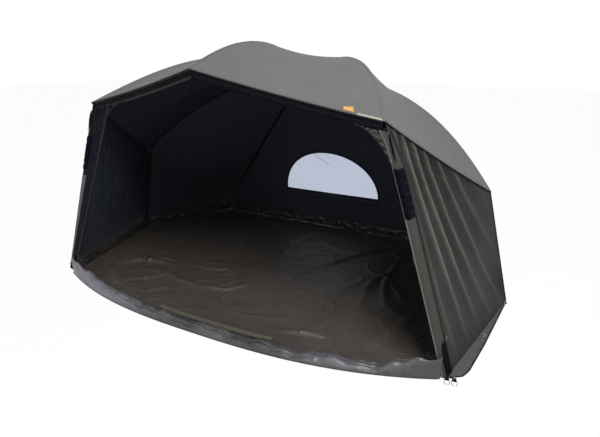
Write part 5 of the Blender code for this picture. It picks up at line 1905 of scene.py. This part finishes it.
def creaseAt(x, y):
    spot = Vector((x, y))
    best = 0.0
    for line, strength in creases:
        count = len(line) - 1
        for k in range(count):
            a, b = line[k], line[k + 1]
            if max(abs(a.x - x), abs(a.y - y)) > ground["creaseReach"]:
                continue
            step = b - a
            t = inside((spot - a).dot(step) / step.length_squared)
            away = spot - a - step * t
            steep = away.x * step.y - away.y * step.x > 0
            width = ground["creaseWidth"] * (0.8 if steep else 1.5) * (0.5 + 0.5 * strength)
            taper = math.sin(math.pi * min(max((k + t) / count, 0.02), 0.98)) ** 0.6
            best = max(best, strength * taper * math.exp(-(away.length / width) ** 1.6))
    return best


def floorRise(x, y, share):
    rise = ground["creaseHeight"] * creaseAt(x, y)
    low = noise.noise(Vector((x * 2.2, y * 2.2, 0.0)))
    bent = noise.noise(Vector((x * 3.1 + low, y * 5.2, 2.0)))
    rise += ground["swell"] * max(1 - abs(bent) * 4.5, 0) ** 1.5 * inside(0.3 + low)
    rise += ground["unevenness"] * (noise.noise(Vector((x * 4, y * 4, 9.0))) + 0.5)
    return max(rise, 0) * min((1 - share) * 14, 1)


centre = Vector((0.0, ground["middleY"]))


def outlineReach(turn):
    way = Vector((math.cos(turn), math.sin(turn)))
    best = None
    for k in range(len(outline)):
        a, b = Vector(outline[k]) - centre, Vector(outline[(k + 1) % len(outline)]) - centre
        step = b - a
        cross = way.x * step.y - way.y * step.x
        if abs(cross) < 1e-9:
            continue
        reach = (a.x * step.y - a.y * step.x) / cross
        t = (a.x * way.y - a.y * way.x) / cross
        if reach > 0 and -1e-6 <= t <= 1 + 1e-6 and (best is None or reach > best):
            best = reach
    return best


reaches = [outlineReach(2 * math.pi * j / ground["spokes"]) for j in range(ground["spokes"])]
shape = bmesh.new()
layer = shape.loops.layers.uv.new("UVMap")
topRings = []
for i in range(1, ground["rings"] + 1):
    share = (i / ground["rings"]) ** 0.85
    ring = []
    for j, reach in enumerate(reaches):
        turn = 2 * math.pi * j / ground["spokes"]
        x, y = centre.x + reach * share * math.cos(turn), centre.y + reach * share * math.sin(turn)
        z = ground["top"] + floorRise(x, y, share) if i < ground["rings"] else ground["rimTop"]
        ring.append(shape.verts.new((x, y, z)))
    topRings.append(ring)
middleTop = shape.verts.new((*centre, ground["top"] + floorRise(*centre, 0)))
middleLow = shape.verts.new((*centre, ground["under"]))
lowRing = [shape.verts.new((v.co.x, v.co.y, ground["under"])) for v in topRings[-1]]
count = ground["spokes"]
for j in range(count):
    k = (j + 1) % count
    shape.faces.new((middleTop, topRings[0][j], topRings[0][k]))
    for inner, outer in zip(topRings, topRings[1:]):
        shape.faces.new((inner[j], outer[j], outer[k], inner[k]))
    shape.faces.new((topRings[-1][j], lowRing[j], lowRing[k], topRings[-1][k]))
    shape.faces.new((middleLow, lowRing[k], lowRing[j]))
for face in shape.faces:
    for loop in face.loops:
        loop[layer].uv = (loop.vert.co.x, loop.vert.co.y)
bmesh.ops.recalc_face_normals(shape, faces=shape.faces)
mesh = smoothed(meshFrom("groundsheet_floor_cloth", shape, floorCloth), meshLook["floorSharp"])
floorPiece = newObject("groundsheet_floor_cloth", mesh)
goWith(floorPiece, "shelter", ["groundsheet_floor"])
flatArea = sum(
    reaches[j] * reaches[(j + 1) % count] * math.sin(2 * math.pi / count) / 2 for j in range(count)
)
flatArea * ground["slack"]
print("groundsheet floor made")

# the raised side: it leans in and creases where it turns the corners
tub = {
    "inset": 0.012, "startIn": 0.070, "startBack": 0.010, "endIn": 0.012, "endBack": 0.030, "step": 0.0075,
    "rows": 14, "lean": 0.014, "push": 0.0075, "calm": 0.05, "foot": 0.0034, "height": 0.077,
    "thick": 0.0012, "piping": 0.0017, "pipingUp": 0.0004,
}
tubCorners = [
    Vector((poleX - tub["startIn"], poleY + tub["startBack"])),
    Vector((nearSide[2][0] - tub["inset"] * 2, nearSide[2][1] + tub["inset"])),
    drawnIn(sideFoot, ground["inset"] + tub["inset"]),
    drawnIn(rearFoot, ground["inset"] + tub["inset"]),
]
tubPath = tubCorners + [Vector((-p.x, p.y)) for p in reversed(tubCorners)]
tubLine = []
for a, b in zip(tubPath, tubPath[1:]):
    count = max(int((b - a).length / tub["step"]), 6)
    tubLine += [a.lerp(b, i / count) for i in range(count)]
tubLine.append(tubPath[-1])
for way in (1, -1):  # the side's ends run on to meet the lip
    endX = ground["shiftX"] + way * (ground["cornerX"] - tub["endIn"])
    end, start = Vector((endX, poleY - tub["endBack"])), tubLine[0 if way > 0 else -1]
    steps = [start.lerp(end, (i + 1) / 5) for i in range(5)]
    tubLine = list(reversed(steps)) + tubLine if way > 0 else tubLine + steps
runs = runLengths(tubLine)


def folded(spot, sharpness):  # a sharp ridge wherever the noise crosses zero
    return max(1 - abs(noise.noise(Vector(spot))) * sharpness, 0)


rows = []
for i in range(tub["rows"] + 1):
    rise = i / tub["rows"]
    row = []
    for spot, run in zip(tubLine, runs):
        inwards = (roomAxis - spot).normalized()
        ends = min(min(run, runs[-1] - run) / tub["calm"], 1)
        crumple = folded((run * 9, rise * 1.6, 3.0), 5)
        crumple += 0.6 * folded((run * 21 + rise * 2, rise * 2.5, 7.0), 4)
        swell = math.sin(math.pi * min(rise * 0.85 + 0.08, 1))
        push = tub["lean"] * rise + tub["push"] * crumple * swell * ends
        slump = 0.10 * (1 + noise.noise(Vector((run * 5.5, 1.0, 1.0))))
        slump += 0.05 * noise.noise(Vector((run * 19, 2.0, 1.0)))
        z = tub["foot"] + tub["height"] * rise * (1 - max(slump, 0) * rise)
        row.append(Vector((*(spot + inwards * push), z)))
    rows.append(row)
cloth(
    "groundsheet_sides_cloth", rows, tubCloth, "shelter", "hung", ["groundsheet_floor_cloth"],
    "ground_cloth", ["groundsheet_sides"], thick=tub["thick"],
)
line = [p + upward * tub["pipingUp"] for p in rows[-1]]
goWith(tubeMesh("groundsheet_piping", line, tub["piping"], 3, tubCloth), "shelter")
print("groundsheet side made")

# the front lip: the edge is turned under loosely, so that it stands up in crumples
lip = {
    "columns": 520, "around": 24, "shorter": 0.003, "extra": 0.008, "extraFrom": 0.96, "round": 0.022,
    "width": 0.085, "height": 0.026, "endHeight": 0.105, "endShare": 0.78, "behind": 0.0026,
    "least": 0.001, "lowest": 0.0032, "thick": 0.0012, "long": 0.0052, "sharp": 0.0030, "small": 0.0006,
    "bent": 0.004, "pull": 0.003,
    "sheens": ((1.15, -0.85, 0.42), (0.22, 0.70, 0.17)),  # painted sheen: how much, where along the front, how wide
}
lipHalf = ground["cornerX"] - lip["shorter"]
lipFoot = ground["thick"] + cad["gap"]
rows, paintedTones = [], []
for i in range(lip["columns"] + 1):
    run = 2 * i / lip["columns"] - 1
    x = ground["shiftX"] + lipHalf * run
    endReach = lip["extra"] * inside((run - lip["extraFrom"]) / (1 - lip["extraFrom"]))
    rounded = max((abs(run) - 1) * lipHalf / lip["round"] + 1, 0)
    cornerIn = lip["round"] * (1 - math.sqrt(max(1 - rounded * rounded, 0)))
    endShare = min((1 - abs(run)) * 6 + 0.10, 1)
    nearEnd = max(abs(run) - lip["endShare"], 0) / (1 - lip["endShare"])
    height = lip["height"] + (lip["endHeight"] - lip["height"]) * nearEnd
    swell = 0.22 * math.sin(x * 23 / lipHalf) + 0.16 * math.sin(x * 61 / lipHalf + 1)
    row = []
    for j in range(lip["around"] + 1):
        turn = math.pi * j / lip["around"]
        reachY = (1 - math.cos(turn)) / 2 * lip["width"] * endShare
        crest = math.sin(turn)
        rise = crest * height * (1 + swell * endShare)
        bent = noise.noise(Vector((x * 5.0, j * 0.10, 1.0)))
        push = lip["long"] * folded((x * 2.6, j * 0.30 + x * 1.5, 11.0), 3.5)
        push += lip["sharp"] * folded((x * 13 + bent * 2, j * 0.22 + x * 3, 5.0), 4)
        push += lip["small"] * folded((x * 34, j * 0.42, 8.0), 4) + lip["bent"] * bent - lip["pull"]
        push *= crest * min(endShare * 1.2, 1)
        y = sheetFront(x) + lip["behind"] + max(reachY, cornerIn) - push * math.cos(turn) * 0.5
        row.append(Vector((
            x + endReach * (1 - crest), max(y, sheetFront(x) + lip["least"]),
            max(lipFoot + rise + push * crest, lip["lowest"]),
        )))
    rows.append(row)
    # painted sheen along the lip, in patches, brightest on the front of its roll
    sheen = 0.14 + 0.25 * noise.noise(Vector((x * 4, 0.0, 3.0)))
    sheen += sum(much * math.exp(-((x - middle) / wide) ** 2) for much, middle, wide in lip["sheens"])
    paintedTones.append([sheen * (0.55 + 0.45 * math.sin(math.pi * min(j / 16, 1))) for j in range(len(row))])
cloth(
    "groundsheet_lip_cloth", rows, lipCloth, "shelter", "folded", ["groundsheet_floor_cloth"],
    "ground_cloth", ["groundsheet_lip"], thick=lip["thick"], outsideOf=Vector((0, -0.6, -3)), crests=paintedTones,
)

edging = {
    "from": -0.31, "to": 0.40, "behind": 0.003, "steps": 120, "up": 0.0058, "wave": 0.0012, "thick": 0.0010,
    "profile": ((0.0, 0.007), (0.004, 0.0150), (0.010, 0.0190), (0.018, 0.0185)),
}
rows = []
for i in range(edging["steps"] + 1):
    x = edging["from"] + (edging["to"] - edging["from"]) * i / edging["steps"]
    y = sheetFront(x) + lip["width"] + edging["behind"]
    wave = edging["wave"] * noise.noise(Vector((x * 9, 0, 2)))
    rows.append([
        Vector((x, y + step, edging["up"] + floorRise(x, y + step, 0.9) + lift + wave * step * 60))
        for step, lift in edging["profile"]
    ])
cloth(
    "groundsheet_edge_tape", rows, greenTape, "shelter", "laid", ["groundsheet_floor_cloth"],
    "ground_cloth", thick=edging["thick"], outsideOf=underneath,
)
print("groundsheet lip made")

# hub, ribs, poles, rings and sliders: the CAD shapes, welded so that they shade round

mouldedParts = ("knuckle_", "pole_socket_", "pole_collar_", "hub_body", "hub_cap")
frameFinishes = (  # the starts of the parts' names, what they are made of, and where they shade sharp
    (("rib_", "pole_upper_"), darkTube, "dark_metal", "frameSharp"),
    (mouldedParts, blackNylon, "black_plastic", "frameSharp"),
    (("pole_lower_",), brightTube, "dark_metal", "frameSharp"),
    (("d_ring_", "hub_ring_wire"), ringMetal, "bright_metal", "ringSharp"),
    (("zip_slider_",), zipMetal, "dark_metal", "sliderSharp"),
)
for name in nodes:
    for starts, *finish in frameFinishes:
        if name.startswith(starts):
            smoothCopy(name, *finish)
print("frame parts finished")

# floor and light

stageLook = {
    "floorSize": 40.0, "floorDrop": 0.0004, "glow": 0.965, "ambient": 0.15,
    "paper": (0.86, 0.86, 0.86), "white": (1, 1, 1), "shadeTint": (0.92, 0.96, 1.0),
}
half = stageLook["floorSize"] / 2
mesh = bpy.data.meshes.new("studioFloor")
corners = ((-half, -half), (half, -half), (half, half), (-half, half))
mesh.from_pydata([(x, y, -stageLook["floorDrop"]) for x, y in corners], [], [(0, 1, 2, 3)])
studioFloor = newObject("ground", mesh)
studioFloor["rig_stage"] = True


def cleared(holder):
    holder.use_nodes = True
    holder.node_tree.nodes.clear()
    return Nodes(holder.node_tree)


def seenClearly(tree):
    # 1 for what is seen directly, in a gloss or through the film, and 0 for the light that it gives
    direct, glossy, through = (
        tree.add("ShaderNodeLightPath", {}, out=label)
        for label in ("Is Camera Ray", "Is Glossy Ray", "Is Transmission Ray")
    )
    return tree.larger(tree.larger(direct, glossy), through)


paper = bpy.data.materials.new("studioPaper")
tree = cleared(paper)
flat = tree.add("ShaderNodeBsdfDiffuse", {}, Color=colour(stageLook["paper"]))
glow = tree.add("ShaderNodeEmission", {}, Color=colour(stageLook["white"]))
both = tree.add("ShaderNodeMixShader", {}, seenClearly(tree) * stageLook["glow"], flat, glow)
tree.add("ShaderNodeOutputMaterial", {}, both)
studioFloor.data.materials.append(paper)

world = bpy.data.worlds.new("studioWorld")
bpy.context.scene.world = world
tree = cleared(world)
dim = tree.add(
    "ShaderNodeBackground", {}, Color=colour(stageLook["shadeTint"]), Strength=stageLook["ambient"]
)
white = tree.add("ShaderNodeBackground", {}, Color=colour(stageLook["white"]))
tree.add("ShaderNodeOutputWorld", {}, tree.add("ShaderNodeMixShader", {}, seenClearly(tree), dim, white))


def softLight(name, place, aim, size, power):
    data = bpy.data.lights.new(name, "AREA")
    data.shape = "RECTANGLE"
    data.size, data.size_y = size
    data.energy = power
    lamp = newObject(name, data)
    lamp.location = place
    lamp.rotation_mode = "QUATERNION"
    lamp.rotation_quaternion = (Vector(aim) - Vector(place)).to_track_quat("-Z", "Y")


softLights = (  # where each stands, what it points at, its size and its watts
    ("keyLight", (2.3, -2.0, 3.9), (0, 0.1, 0.5), (2.2, 2.2), 232),
    ("frontLight", (-0.8, -5.0, 2.6), (0, 0, 0.3), (3.2, 2.2), 35),
)
for settings in softLights:
    softLight(*settings)
print("stage lit")

low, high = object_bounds()
{"cad": [list(cadLow), list(cadHigh)], "visual": [list(low), list(high)]}
